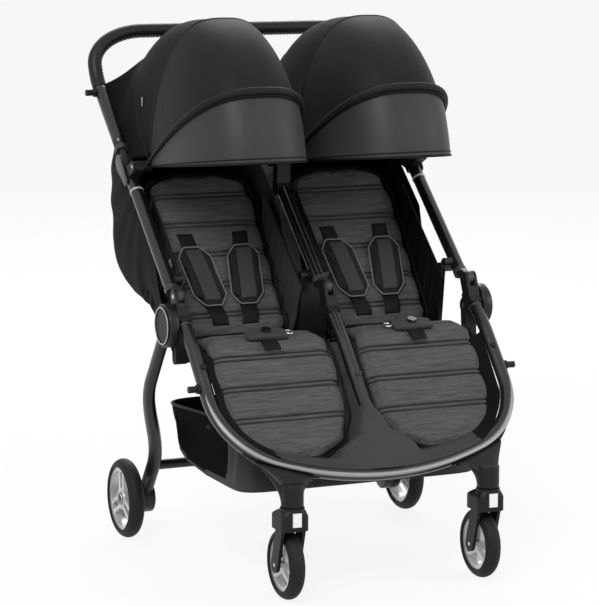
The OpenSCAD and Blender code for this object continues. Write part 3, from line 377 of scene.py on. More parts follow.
# The slub cloth darkens the creases of its sewn seams with painted shade.
SLUB = Finish("charcoal_slub", "fabric_charcoal", (0.036, 0.036, 0.037), (0.126, 0.126, 0.130),
              Grain.SLUB, 0.86, 0.06, sheen=0.04, specular=0.08, bump=0.5, depth=0.0007, crease=0.8)
PLAIN_GREY = Finish("plain_charcoal", "fabric_sling", (0.034, 0.034, 0.035), (0.054, 0.054, 0.056),
                    Grain.WEAVE, 0.62, 0.06, sheen=0.03, specular=0.16, bump=0.16, depth=0.0003)
HOOD_BLACK = Finish("black_hood_cloth", "fabric_black", (0.004, 0.004, 0.0045), (0.009, 0.009, 0.0095),
                    Grain.WEAVE, 0.74, 0.06, sheen=0.015, specular=0.08, bump=0.2, depth=0.0003)
HOOD_GREY = Finish("dark_hood_cloth", "fabric_black", (0.007, 0.007, 0.0075), (0.014, 0.014, 0.015),
                   Grain.WEAVE, 0.62, 0.06, sheen=0.03, specular=0.14, bump=0.18, depth=0.0003)
# Painted sheen: the visor's black cloth has a lighter grey colour that stands for its sheen.
VISOR_SHEEN_CLOTH = Finish("visor_cloth", "fabric_black", (0.024, 0.024, 0.025), (0.044, 0.044, 0.046),
                     Grain.WEAVE, 0.50, 0.05, sheen=0.04, specular=0.22, bump=0.14, depth=0.0002)
WING_BLACK = Finish("black_wing_cloth", "fabric_black", (0.003, 0.003, 0.0035), (0.007, 0.007, 0.0075),
                    Grain.WEAVE, 0.8, 0.06, sheen=0.015, specular=0.07, bump=0.22, depth=0.0003)
PIPING = Finish("black_piping", "fabric_black", (0.003, 0.003, 0.003), (0.007, 0.007, 0.007),
                Grain.WEAVE, 0.6, 0.06, specular=0.16, bump=0.2, depth=0.0003)
PALE_PIPING = Finish("grey_piping", "webbing", (0.12, 0.12, 0.125), (0.19, 0.19, 0.195),
                     Grain.WEAVE, 0.6, 0.06, specular=0.2, bump=0.2, depth=0.0003)
WEBBING = Finish("black_webbing", "webbing", (0.004, 0.004, 0.004), (0.012, 0.012, 0.013),
                 Grain.WEBBING, 0.66, 0.06, specular=0.14, bump=0.5, depth=0.0006)
SLEEVE = Finish("harness_sleeve", "webbing", (0.010, 0.010, 0.011), (0.022, 0.022, 0.024),
                Grain.WEAVE, 0.72, 0.06, sheen=0.03, specular=0.12, bump=0.3, depth=0.0004)
NET = Finish("black_net", "mesh_black", (0.002, 0.002, 0.002), (0.007, 0.007, 0.0075),
             Grain.MESH, 0.8, 0.06, specular=0.03, bump=0.8, depth=0.001)


def put(name: str, data: bpy.types.ID) -> Object:
    """A new object in the scene.

    Args:
        name: Its name.
        data: Its mesh, camera or lamp.

    Returns:
        The object.
    """
    obj = bpy.data.objects.new(name, data)
    bpy.context.scene.collection.objects.link(obj)
    return obj


def between(first: float, last: float, share: float) -> float:
    """The value at a share of the way between two."""
    return first + (last - first) * share


def at_share(size: Size, share: float) -> float:
    """A size that is one number or goes by the share of a line."""
    return size(share) if callable(size) else size


class Maker:
    """Meshing steps that the sub-assemblies share, with points in metres and sizes in millimetres."""

    SHARP = 0.6
    MERGE = 1e-6

    @staticmethod
    def sheet(across: int, along: int, place: Place) -> BMesh:
        """An open sheet: a grid whose points are put in place.

        Args:
            across: Cells across the sheet.
            along: Cells along the sheet.
            place: Gives a point from its shares across and along.

        Returns:
            The sheet.
        """
        bm = bmesh.new()
        bmesh.ops.create_grid(bm, x_segments=across, y_segments=along, size=0.5)
        for vert in bm.verts:
            vert.co = place(vert.co.x + 0.5, vert.co.y + 0.5)
        return bm

    @staticmethod
    def slab(across: int, along: int, place: Solid) -> BMesh:
        """A closed slab: a grid, extruded once, whose points are put in place.

        Args:
            across: Cells across the slab.
            along: Cells along the slab.
            place: Gives a point from its shares across, along and up.

        Returns:
            The slab.
        """
        bm = bmesh.new()
        bmesh.ops.create_grid(bm, x_segments=across, y_segments=along, size=0.5)
        made = bmesh.ops.extrude_face_region(bm, geom=bm.faces[:])
        tops = {g for g in made["geom"] if isinstance(g, bmesh.types.BMVert)}
        for vert in bm.verts:
            vert.co = place(vert.co.x + 0.5, vert.co.y + 0.5, 1.0 if vert in tops else 0.0)
        return Maker.outward(bm)

    @staticmethod
    def outward(bm: BMesh) -> BMesh:
        """The same mesh with its faces turned outwards."""
        bmesh.ops.recalc_face_normals(bm, faces=bm.faces[:])
        return bm

    @staticmethod
    def smooth(bm: BMesh, verts: Sequence[bmesh.types.BMVert], factor: float) -> None:
        """Draws points towards their neighbours."""
        bmesh.ops.smooth_vert(bm, verts=verts, factor=factor, use_axis_x=True, use_axis_y=True,
                              use_axis_z=True)

    @staticmethod
    def stand(bm: BMesh, centre: Vector, axis: Vector) -> None:
        """Moves a mesh from the origin to a place and turns its Z to an axis."""
        place = Matrix.Translation(centre) @ axis.to_track_quat("Z", "Y").to_matrix().to_4x4()
        bmesh.ops.transform(bm, matrix=place, verts=bm.verts[:])

    @staticmethod
    def skin(around: int, rows: int, place: Place, ends: bool = True) -> BMesh:
        """A skin round a line of rings.

        Args:
            around: Steps round a ring.
            rows: Steps from the first ring to the last.
            place: Gives a point from its shares round and along.
            ends: Whether it has two ends, which are closed.

        Returns:
            The skin.
        """
        bm = Maker.sheet(around, rows, place)
        bmesh.ops.remove_doubles(bm, verts=bm.verts[:], dist=Maker.MERGE)
        if ends:
            bmesh.ops.holes_fill(bm, edges=[e for e in bm.edges if e.is_boundary], sides=around)
        return Maker.outward(bm)

    @staticmethod
    def tube(points: Sequence[Vector], radius: Size, sides: int = 8, closed: bool = False,
             flat: Size = 1.0, up: Vector = UP) -> BMesh:
        """A tube along a line of points.

        Args:
            points: The line, from end to end.
            radius: Its radius.
            sides: Sides of the tube.
            closed: Whether the line runs back into its start.
            flat: Height of the section as a share of its width.
            up: Direction that the section's height follows.

        Returns:
            The tube, with closed ends.
        """
        count = len(points)
        frames: list[tuple[Vector, Vector]] = []
        for k in range(count):
            ahead = points[(k + 1) % count] if closed else points[min(k + 1, count - 1)]
            behind = points[k - 1] if closed or k else points[0]
            run = (ahead - behind).normalized()
            wide = run.cross(up)
            if wide.length < 1e-4:
                wide = run.cross(ACROSS)
            wide.normalize()
            if frames and not closed and wide.dot(frames[-1][0]) < 0:
                wide = -wide
            frames.append((wide, wide.cross(run).normalized()))
        rows = count if closed else count - 1

        def place(u: float, v: float) -> Vector:
            k = round(v * rows)
            wide, high = frames[k % count]
            turn = 2 * math.pi * u
            r = at_share(radius, k / rows) * MM
            squash = at_share(flat, k / rows)
            return points[k % count] + wide * r * math.cos(turn) + high * r * squash * math.sin(turn)

        return Maker.skin(sides, rows, place, not closed)

    @staticmethod
    def disc(centre: Vector, axis: Vector, radius: float, height: float, bevel: float, sides: int) -> BMesh:
        """A round disc or short rod with eased edges.

        Args:
            centre: Middle of the disc.
            axis: Direction of its axis.
            radius: Its radius.
            height: Its length along the axis.
            bevel: Ease of its edges.
            sides: Sides of the round.

        Returns:
            The disc.
        """
        bm = bmesh.new()
        bmesh.ops.create_cone(bm, cap_ends=True, segments=sides, radius1=radius * MM, radius2=radius * MM,
                              depth=height * MM)
        Maker.ease(bm, bevel)
        Maker.stand(bm, centre, axis)
        return bm

    @staticmethod
    def block(size: Sequence[float], centre: Vector, bevel: float) -> BMesh:
        """A block with eased edges.

        Args:
            size: Its sizes along X, Y and Z.
            centre: Its middle.
            bevel: Ease of its edges.

        Returns:
            The block.
        """
        bm = bmesh.new()
        bmesh.ops.create_cube(bm, size=1.0)
        bmesh.ops.scale(bm, vec=Vector(size) * MM, verts=bm.verts[:])
        Maker.ease(bm, bevel)
        bmesh.ops.translate(bm, vec=centre, verts=bm.verts[:])
        return bm

    @staticmethod
    def ring(centre: Vector, axis: Vector, radius: float, thick: float, sides: int) -> BMesh:
        """A round ring, spun from a small circle.

        Args:
            centre: Middle of the ring.
            axis: Direction of its axis.
            radius: Radius of the ring's middle line.
            thick: Radius of its section.
            sides: Steps round the ring.

        Returns:
            The ring.
        """
        bm = bmesh.new()
        made = bmesh.ops.create_circle(bm, cap_ends=False, segments=10, radius=thick * MM)
        stand = Matrix.Translation((radius * MM, 0, 0)) @ Matrix.Rotation(math.pi / 2, 4, "X")
        bmesh.ops.transform(bm, matrix=stand, verts=made["verts"])
        bmesh.ops.spin(bm, geom=bm.edges[:] + bm.verts[:], cent=(0, 0, 0), axis=(0, 0, 1), dvec=(0, 0, 0),
                       angle=2 * math.pi, steps=sides, use_merge=True, use_duplicate=False)
        bmesh.ops.remove_doubles(bm, verts=bm.verts[:], dist=Maker.MERGE)
        Maker.outward(bm)
        Maker.stand(bm, centre, axis)
        return bm

    @staticmethod
    def plate(outline: Sequence[Flat], x0: float, x1: float, bevel: float) -> BMesh:
        """A flat plate with eased edges, cut to an outline in the side view.

        Args:
            outline: Points along and up.
            x0: Distance across of its one face.
            x1: Distance across of its other face.
            bevel: Ease of its edges.

        Returns:
            The plate.
        """
        bm = bmesh.new()
        face = bm.faces.new([bm.verts.new(LINES.at(x0, y, z)) for y, z in outline])
        made = bmesh.ops.extrude_face_region(bm, geom=[face])
        moved = [g for g in made["geom"] if isinstance(g, bmesh.types.BMVert)]
        bmesh.ops.translate(bm, vec=ACROSS * (x1 - x0) * MM, verts=moved)
        Maker.ease(Maker.outward(bm), bevel)
        return bm

    @staticmethod
    def ease(bm: BMesh, bevel: float) -> None:
        """Eases all sharp edges of a mesh by a width."""
        sharp = [e for e in bm.edges if len(e.link_faces) == 2 and e.calc_face_angle(0.0) > Maker.SHARP]
        bmesh.ops.bevel(bm, geom=sharp, offset=bevel * MM, offset_type="OFFSET", segments=3, profile=0.5,
                        affect="EDGES", material=-1, clamp_overlap=True)

    @staticmethod
    def baked(name: str, bm: BMesh) -> bpy.types.Mesh:
        """A mesh with a name, made from one that is used up.

        Args:
            name: The name.
            bm: The mesh that is used up.

        Returns:
            The named mesh.
        """
        mesh = bpy.data.meshes.new(name)
        bm.to_mesh(mesh)
        bm.free()
        return mesh

    @staticmethod
    def join(parts: Sequence[BMesh]) -> BMesh:
        """Several meshes as one.

        Args:
            parts: The meshes, which are used up.

        Returns:
            One mesh with all their faces.
        """
        whole = bmesh.new()
        for part in parts:
            held = Maker.baked("held", part)
            whole.from_mesh(held)
            bpy.data.meshes.remove(held)
        return whole

    @staticmethod
    def piece(name: str, bm: BMesh, finish: Finish, body: Optional[str], wall: float = 0.0) -> Object:
        """A finished piece that moves with a body.

        Args:
            name: Name of the piece.
            bm: Its mesh, which is used up.
            finish: Its finish.
            body: The body that carries it, or none.
            wall: Thickness to give an open sheet.

        Returns:
            The piece.
        """
        mesh = Maker.baked(name, bm)
        mesh.polygons.foreach_set("use_smooth", [True] * len(mesh.polygons))
        mesh.materials.append(finish.material())
        obj = put(name, mesh)
        if wall:
            thick = obj.modifiers.new("wall", "SOLIDIFY")
            thick.thickness = wall * MM
            thick.offset = 0.0
        if body:
            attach(obj, body)
        LOG.info("%s on %s", name, body or "two bodies")
        return obj

    @staticmethod
    def cloth(piece: tuple[str, BMesh, Finish, Optional[str], float], cut: Flat, held: str,
              rests_on: list[str], node: str = "", least: float = 0.0) -> Object:
        """A piece of cloth.

        Args:
            piece: Name, sheet, finish, body and wall of the piece.
            cut: One side of the flat cloth in metres, and the flat area as a share of the sheet's own; not
                used.
            held: How the cloth is held; not used.
            rests_on: Pieces or solids that hold it; not used.
            node: The solid that it stands for, if there is one.
            least: Least length of the other side, in metres; not used.

        Returns:
            The piece.
        """
        area = sum(face.calc_area() for face in piece[1].faces)
        obj = Maker.piece(*piece)
        if node:
            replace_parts(obj, node)
        return obj

    @staticmethod
    def patch(piece: Object, finish: Finish, chosen: Callable[[bpy.types.MeshPolygon], bool]) -> None:
        """Gives some faces of a piece a second finish.

        Args:
            piece: The piece.
            finish: The second finish.
            chosen: Tells whether a face takes it.
        """
        piece.data.materials.append(finish.material())
        for face in piece.data.polygons:
            if chosen(face):
                face.material_index = 1


def teardrop(a: Flat, ra: float, b: Flat, rb: float) -> list[Flat]:
    """The outline drawn tight round two circles.

    Args:
        a: Middle of the first circle.
        ra: Its radius.
        b: Middle of the second circle.
        rb: Its radius.

    Returns:
        Points round the outline.
    """
    way = math.atan2(b[1] - a[1], b[0] - a[0])
    lean = math.acos((ra - rb) / math.dist(a, b))
    steps = 16
    first = [way + lean + (2 * math.pi - 2 * lean) * k / steps for k in range(steps + 1)]
    second = [way - lean + 2 * lean * k / steps for k in range(steps + 1)]
    return ([(a[0] + ra * math.cos(t), a[1] + ra * math.sin(t)) for t in first]
            + [(b[0] + rb * math.cos(t), b[1] + rb * math.sin(t)) for t in second])


def clamped(share: float) -> float:
    """A share held between 0 and 1."""
    return min(1.0, max(0.0, share))


def smooth_step(share: float) -> float:
    """An eased share, flat at both ends."""
    held = clamped(share)
    return held * held * (3 - 2 * held)


def read_table(table: Table, at: float) -> float:
    """Eased reading of a table of places and values.

    Args:
        table: Places in rising order, with their values.
        at: The place to read.

    Returns:
        The value there.
    """
    for (low, first), (high, last) in zip(table, table[1:]):
        if at <= high:
            return between(first, last, smooth_step((at - low) / (high - low)))
    return table[-1][1]


def fold_noise(at: Vector, size: float, seed: float) -> float:
    """Soft unevenness of cloth at a point, from about -1 to 1, with a width and an offset of its own."""
    return noise.noise(at / size + Vector((seed, 2 * seed, 3 * seed)))


@dataclass
class Studio:
    """Camera, lamps, floor and backdrop."""

    eye: Vector = field(default_factory=lambda: Vector((-2.2397, -5.1091, 1.4052)))
    aim: Vector = field(default_factory=lambda: Vector((-0.0560, -0.0894, 0.5529)))
    lens: float = 154.46
    sensor: float = 36.0
    floor_size: float = 140.0
    floor_tone: float = 0.86
    ambient: float = 0.55
    lamp_aim: Vector = field(default_factory=lambda: Vector((0, 0, 0.6)))
    lamps: tuple[tuple[str, tuple[float, float, float], float, float], ...] = (
        ("key", (-3.2, -3.6, 4.6), 2.6, 210), ("fill", (4.2, -3.4, 2.6), 3.2, 90),
        ("rim", (1.6, 4.2, 4.2), 2.6, 120))

    def camera(self) -> None:
        """Puts the camera at the photograph's viewing angle."""
        data = bpy.data.cameras.new("camera")
        data.lens = self.lens
        data.sensor_width = self.sensor
        obj = put("camera", data)
        obj.location = self.eye
        obj.rotation_euler = (self.aim - self.eye).to_track_quat("-Z", "Y").to_euler()
        bpy.context.scene.camera = obj

    def lamp(self, name: str, at: Sequence[float], size: float, watts: float) -> None:
        """Adds a soft lamp that points at the stroller.

        Args:
            name: Name of the lamp.
            at: Its place.
            size: Width of its face.
            watts: Its power.
        """
        data = bpy.data.lights.new(name, "AREA")
        data.shape = "SQUARE"
        data.size = size
        data.energy = watts
        obj = put(name, data)
        obj.location = at
        obj.rotation_euler = (self.lamp_aim - Vector(at)).to_track_quat("-Z", "Y").to_euler()

    def world(self) -> None:
        """Lights the scene evenly, with a white backdrop behind the stroller."""
        made = bpy.data.worlds.new("studio")
        nodes = Nodes(made)
        soft, white = (nodes.node("ShaderNodeBackground", Color=(1, 1, 1, 1), Strength=strength)
                       for strength in (self.ambient, 1.0))
        nodes.show(nodes.seen_rays(), soft.outputs["Background"], white.outputs["Background"],
                   "ShaderNodeOutputWorld")
        bpy.context.scene.world = made

    def floor(self) -> None:
        """Lays a pale floor that keeps the stroller's shadow."""
        bm = bmesh.new()
        bmesh.ops.create_grid(bm, x_segments=1, y_segments=1, size=self.floor_size / 2)
        obj = put("floor", Maker.baked("floor", bm))
        pale = bpy.data.materials.new("pale_floor")
        nodes = Nodes(pale)
        share = nodes.joined(nodes.seen_rays(), self.floor_tone, "MULTIPLY")
        matt = nodes.node("ShaderNodeBsdfDiffuse", Color=(*[self.floor_tone] * 3, 1))
        glow = nodes.node("ShaderNodeEmission", Strength=1.0)
        nodes.show(share, matt.outputs["BSDF"], glow.outputs["Emission"], "ShaderNodeOutputMaterial")
        obj.data.materials.append(pale)

    def build(self) -> None:
        """Sets up the whole studio."""
        self.camera()
        self.world()
        self.floor()
        for lamp in self.lamps:
            self.lamp(*lamp)
        bpy.context.scene.view_settings.view_transform = "Standard"


@dataclass
class SideLines:
    """Lines of the side view that several pieces follow, in millimetres from between the wheels."""

    tube_slope: float = 41.5
    tube_z: float = 576.0
    tube_x: float = 338.0
    tube_d: float = 28.0
    seat_x: float = 169.0
    hinge_s: float = -6.0
    upper_len: float = 406.0
    lower_len: float = 127.0
    loop_slope: float = 47.7
    loop_len: float = 330.0
    loop_side: float = 120.0
    loop_corner_r: float = 180.0

    def __post_init__(self) -> None:
        """Works out the derived lines."""
        self.mid_y = (joint_at("front_roll_left").y + joint_at("rear_roll_left").y) / 2
        self.loop_corner_x = self.tube_x - self.loop_corner_r
        rest = self.loop_len - self.loop_side
        self.loop_front_r = ((self.loop_corner_x ** 2 + rest ** 2 - self.loop_corner_r ** 2)
                             / (2 * (rest - self.loop_corner_r)))
        self.loop_turn = math.atan2(self.loop_front_r - rest, self.loop_corner_x)
        self.elbow_s = self.hinge_s + self.upper_len
        self.bend = self.tube(self.hinge_s - self.lower_len)

    def at(self, x: float, y: float, z: float) -> Vector:
        """A point in the frame, from millimetres across, along and up."""
        return Vector((x * MM, self.mid_y + y * MM, z * MM))

    def tube(self, s: float, off: float = 0.0) -> Flat:
        """A point along and up, from the distances up the tube line and off its front."""
        a = math.radians(self.tube_slope)
        return (s * math.cos(a) - off * math.sin(a), self.tube_z + s * math.sin(a) + off * math.cos(a))

    def loop(self, x: float, run: float, off: float = 0.0) -> Vector:
        """A point in the plane of the front loop.

        Args:
            x: Distance across.
            run: Distance down from the bend.
            off: Distance off the plane's front.

        Returns:
            The point in the frame.
        """
        a = math.radians(self.loop_slope)
        y, z = self.bend
        y, z = y - run * math.cos(a) - off * math.sin(a), z - run * math.sin(a) + off * math.cos(a)
        return self.at(x, y, z)

    def loop_line(self, inset: float, start: float, steps: int) -> list[Flat]:
        """The loop's middle line in its own plane, as across and down, from the left side to the right.

        Args:
            inset: Distance inside the tube's middle line.
            start: Distance below the bend at which it starts.
            steps: Steps of each arc.

        Returns:
            Points across and down.
        """
        corner = self.loop_corner_r - inset
        front = self.loop_front_r - inset
        half = [(self.tube_x - inset, start)]
        for k in range(steps + 1):
            a = self.loop_turn * k / steps
            half.append((self.loop_corner_x + corner * math.cos(a), self.loop_side + corner * math.sin(a)))
        for k in range(1, steps + 1):
            a = math.pi / 2 - (math.pi / 2 - self.loop_turn) * (1 - k / steps)
            half.append((front * math.cos(a), self.loop_len - self.loop_front_r + front * math.sin(a)))
        mirrored = [(-x, run) for x, run in half[:-1]]
        return mirrored + [half[-1]] + half[-2::-1]

    def loop_half(self, run: float, inset: float) -> float:
        """Half width of the loop at a distance below the bend.

        Args:
            run: Distance below the bend.
            inset: Distance inside the tube's middle line.

        Returns:
            The half width.
        """
        if run <= self.loop_side:
            return self.tube_x - inset
        rise = run - self.loop_side
        corner = self.loop_corner_r - inset
        if rise < corner * math.sin(self.loop_turn):
            return self.loop_corner_x + math.sqrt(max(0.0, corner ** 2 - rise ** 2))
        front = self.loop_front_r - inset
        depth = run - (self.loop_len - self.loop_front_r)
        return math.sqrt(max(0.0, front ** 2 - depth ** 2))


LINES = SideLines()


def hood_point(side: Side, r: float, x: float, angle: float) -> Vector:
    """A point about the canopies' pivot.

    Args:
        side: Which seat.
        r: Distance from the pivot's axis.
        x: Distance across from the seat's middle.
        angle: Angle about the pivot, in degrees up from the rear.

    Returns:
        The point in the frame.
    """
    pivot = joint_at("hood_open_right")
    a = math.radians(angle)
    away = Vector((side.value * (LINES.seat_x + x), r * math.cos(a), r * math.sin(a)))
    return Vector((0, pivot.y, pivot.z)) + away * MM


def hood_arc(half: float, r: float, low: float, power: float, share: float) -> Flat:
    """A point of a rounded outline in a plane through the canopies' pivot.

    Args:
        half: Half width.
        r: Radius at the crown.
        low: Radius at which the outline ends, on both sides.
        power: How square the outline is.
        share: Share of the outline from the inner side to the outer.

    Returns:
        The point's radius and its distance across from the seat's middle.
    """
    t = math.acos((low / r) ** (power / 2)) * (2 * share - 1)
    out = r * max(0.0, math.cos(t)) ** (2 / power)
    return out, half * math.copysign(abs(math.sin(t)) ** (2 / power), t)


@dataclass
class SeatPath:
    """The top of a seat in the side view: flat from the bite, round the crest and down the front."""

    back: Flat = (64.0, 476.0)
    crest: Flat = (-82.0, 508.0)
    foot: Flat = (-270.0, 275.0)
    crest_r: float = 60.0

    def __post_init__(self) -> None:
        """Works out the lengths and angles of the path's three runs."""
        (by, bz), (cy, cz), (fy, fz) = self.back, self.crest, self.foot
        self.rise = math.atan2(cz - bz, by - cy)
        self.fall = math.atan2(cz - fz, cy - fy)
        self.turn = self.rise + self.fall
        tangent = self.crest_r * math.tan(self.turn / 2)
        self.flat_len = math.hypot(cy - by, cz - bz) - tangent
        self.crest_len = self.crest_r * self.turn
        self.front_len = math.hypot(fy - cy, fz - cz) - tangent
        self.length = self.flat_len + self.crest_len + self.front_len
        self.mid = (by - self.flat_len * math.cos(self.rise) - self.crest_r * math.sin(self.rise),
                    bz + self.flat_len * math.sin(self.rise) - self.crest_r * math.cos(self.rise))

    def angle(self, d: float) -> float:
        """Slope of the path at a distance along it, in radians.

        Args:
            d: Distance from the bite.

        Returns:
            The slope, which is negative down the front.
        """
        if d < self.flat_len:
            return self.rise
        if d > self.flat_len + self.crest_len:
            return -self.fall
        return self.rise - (d - self.flat_len) / self.crest_r

    def at(self, x: float, d: float, h: float) -> Vector:
        """A point over the path.

        Args:
            x: Distance across.
            d: Distance along the path, which runs on straight past its ends.
            h: Height above the path.

        Returns:
            The point in the frame.
        """
        a = self.angle(d)
        if d < self.flat_len:
            y, z = self.back[0] - d * math.cos(a), self.back[1] + d * math.sin(a)
        elif d > self.flat_len + self.crest_len:
            rest = self.length - d
            y, z = self.foot[0] + rest * math.cos(a), self.foot[1] - rest * math.sin(a)
        else:
            y, z = self.mid[0] + self.crest_r * math.sin(a), self.mid[1] + self.crest_r * math.cos(a)
        return LINES.at(x, y + h * math.sin(a), z + h * math.cos(a))


PATH = SeatPath()


@dataclass
class Cushion:
    """A sewn pad, made flat: an outline is stuffed by a cloth simulation and then sewn down in channels."""

    name: str
    length: float
    half: Callable[[float], float]
    thick: float
    channels: tuple[float, ...]
    seam_gap: float = 10.0
    seam_depth: float = 4.4
    seam_w: float = 2.2
    dip_depth: float = 4.2
    dip_w: float = 21.0
    start_share: float = 0.62
    voxel: float = 5.0
    swell: float = 9.0
    outline_steps: int = 46
    corner: float = 16.0
    pressure: float = 4.0
    settle_steps: int = 20
    pucker: Flat = (0.9, 26.0)
    slack: Flat = (0.9, 75.0)
    draw_in: float = 1.6
    sewn_share: float = 0.45
    edge_from: float = 0.6
    kept: Optional[BMesh] = None

    def outline(self) -> list[Flat]:
        """The pad's outline, as across and along, with rounded ends.

        Returns:
            Points round the outline.
        """
        right: list[Flat] = []
        for k in range(self.outline_steps + 1):
            d = self.length * (0.5 - 0.5 * math.cos(math.pi * k / self.outline_steps))
            near = min(d, self.length - d)
            draw = 0.0
            if near < self.corner:
                draw = self.corner - math.sqrt(max(0.0, self.corner ** 2 - (self.corner - near) ** 2))
            right.append((self.half(d / self.length) - draw, d))
        return right + [(-x, d) for x, d in reversed(right)]

    def body(self) -> BMesh:
        """The pad before stuffing: its outline, made thick.

        Returns:
            The closed mesh, in millimetres.
        """
        bm = bmesh.new()
        low = self.thick * (1 - self.start_share) / 2
        face = bm.faces.new([bm.verts.new((x, d, low)) for x, d in self.outline()])
        made = bmesh.ops.extrude_face_region(bm, geom=[face])
        tops = [g for g in made["geom"] if isinstance(g, bmesh.types.BMVert)]
        bmesh.ops.translate(bm, vec=(0, 0, self.thick * self.start_share), verts=tops)
        Maker.outward(bm)
        bmesh.ops.triangulate(bm, faces=bm.faces[:])
        return bm

    def stuffed(self) -> BMesh:
        """The pad after stuffing.

        Returns:
            The swollen pad, in millimetres, with a flat underside.
        """
        bm = self.body()
        bmesh.ops.scale(bm, vec=(MM, MM, MM), verts=bm.verts[:])
        work = put(self.name + "_stuffing", Maker.baked(self.name + "_stuffing", bm))
        remesh = work.modifiers.new("voxels", "REMESH")
        remesh.mode = "VOXEL"
        remesh.voxel_size = self.voxel * MM
        self.apply(work)
        before = [v.co.copy() for v in work.data.vertices]
        cloth = work.modifiers.new("stuffing", "CLOTH")
        cloth.settings.use_pressure = True
        cloth.settings.uniform_pressure_force = self.pressure
        cloth.settings.quality = 6
        cloth.settings.effector_weights.gravity = 0.0
        cloth.collision_settings.use_collision = False
        cloth.point_cache.frame_start = 1
        cloth.point_cache.frame_end = self.settle_steps
        for step in range(1, self.settle_steps + 1):
            bpy.context.scene.frame_set(step)
        self.apply(work)
        bpy.context.scene.frame_set(1)
        out = bmesh.new()
        out.from_mesh(work.data)
        bpy.data.objects.remove(work)
        for vert, old in zip(out.verts, before):
            move = vert.co - old
            cap = self.swell * MM
            if move.length > cap:
                move.length = cap
            vert.co = (old + move) / MM
        for vert in out.verts:
            vert.co.z = max(0.0, vert.co.z)
        Maker.smooth(out, out.verts[:], 0.5)
        bmesh.ops.subdivide_edges(out, edges=out.edges[:], cuts=1, smooth=0.4, use_grid_fill=True)
        return out

    @staticmethod
    def apply(work: Object) -> None:
        """Makes an object's modifiers part of its mesh.

        Args:
            work: The object.
        """
        graph = bpy.context.evaluated_depsgraph_get()
        shown = bpy.data.meshes.new_from_object(work.evaluated_get(graph))
        work.modifiers.clear()
        work.data = shown

    def seams(self) -> list[float]:
        """Places of the stitch lines along the pad: two to a channel."""
        return [line + side * self.seam_gap / 2 for line in self.channels for side in (-1, 1)]

    def sewn(self, seed: float) -> BMesh:
        """The stuffed pad with its channels sewn down.

        Args:
            seed: Offset of the cloth's unevenness.

        Returns:
            The finished pad, flat, in millimetres.
        """
        if self.kept is None:
            self.kept = self.stuffed()
        bm = self.kept.copy()
        for line in self.seams():
            for step in (-1.0, 0.0, 1.0):
                bmesh.ops.bisect_plane(bm, geom=bm.verts[:] + bm.edges[:] + bm.faces[:], dist=1e-4,
                                       plane_co=(0, line + step * self.seam_w, 0), plane_no=(0, 1, 0))
        # The "seam" attribute is the mask of painted shade that darkens the cloth in the seam creases.
        sewn = bm.verts.layers.float.new("seam")
        for vert in bm.verts:
            x, d, z = vert.co
            above = smooth_step(z / (self.sewn_share * self.thick))
            if above <= 0:
                continue
            dip = max(math.exp(-((d - line) / self.dip_w) ** 2) for line in self.channels)
            crease = max(math.exp(-((d - line) / self.seam_w) ** 2) for line in self.seams())
            # Painted shade: the crease, on the pad's upper side only.
            vert[sewn] = above * crease
            at = Vector((x, d, 0))
            pucker = self.pucker[0] * fold_noise(at, self.pucker[1], seed) * dip
            slack = self.slack[0] * fold_noise(at, self.slack[1], seed + 3.1)
            vert.co.z -= above * (self.dip_depth * dip + self.seam_depth * crease + pucker + slack)
            edge = smooth_step((abs(x) / self.half(d / self.length) - self.edge_from) / (1 - self.edge_from))
            vert.co.x -= math.copysign(self.draw_in * dip * edge, x)
        return bm

    def laid(self, name: str, seed: float, place: Solid, look: tuple[Finish, str, float],
             node: str = "") -> None:
        """Makes a piece of the sewn pad, laid in place.

        Args:
            name: Name of the piece.
            seed: Offset of the cloth's unevenness.
            place: Gives a point in the frame from its flat place.
            look: Finish, body and fill of the piece.
            node: The solid that it stands for, if there is one.
        """
        finish, body, fill = look
        bm = self.sewn(seed)
        for vert in bm.verts:
            vert.co = place(*vert.co)
        pad = Maker.piece(name, Maker.outward(bm), finish, body)
        if node:
            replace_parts(pad, node)

    def piped(self, name: str, place: Solid, height: float, radius: float, look: tuple[Finish, str]) -> None:
        """Makes the piping round the pad's edge."""
        rim = [place(x, d, height) for x, d in self.outline()]
        Maker.piece(name, Maker.tube(rim, radius, closed=True), *look)


@dataclass
class SeatPads:
    """Two quilted seat pads with piping, which run over the crest of the seats."""

    pad_w: float = 292.0
    pad_t: float = 26.0
    channels: tuple[float, ...] = (60.0, 128.0, 196.0, 268.0, 342.0)
    shares: Table = ((0.0, 0.86), (0.28, 0.95), (0.5, 1.0), (0.75, 0.98), (0.9, 0.82), (1.0, 0.46))
    corner: float = 26.0
    fill: float = 0.65
    piping_r: float = 2.7
    sunk: float = 1.2

    def half(self, v: float) -> float:
        """Half width of a pad at a share of its length."""
        return self.pad_w / 2 * read_table(self.shares, v)

    def place(self, side: Side, x: float, d: float, h: float) -> Vector:
        """A point of a seat pad, from its flat place."""
        return PATH.at(side.value * (LINES.seat_x + x), d, h - self.pad_t)

    def build(self) -> None:
        """Makes both pads and their piping."""
        cut = Cushion("seat_pad", PATH.length, self.half, self.pad_t - self.sunk, self.channels,
                      corner=self.corner)
        for side in Side:
            place = partial(self.place, side)
            cut.laid(f"seat_cushion_{side.word}", 4.0 + side.value, place, (SLUB, "chassis", self.fill),
                     f"seat_pad_{side.word}")
            cut.piped(f"seat_piping_{side.word}", place, 0.5 * self.pad_t - 1, self.piping_r,
                      (PIPING, "chassis"))


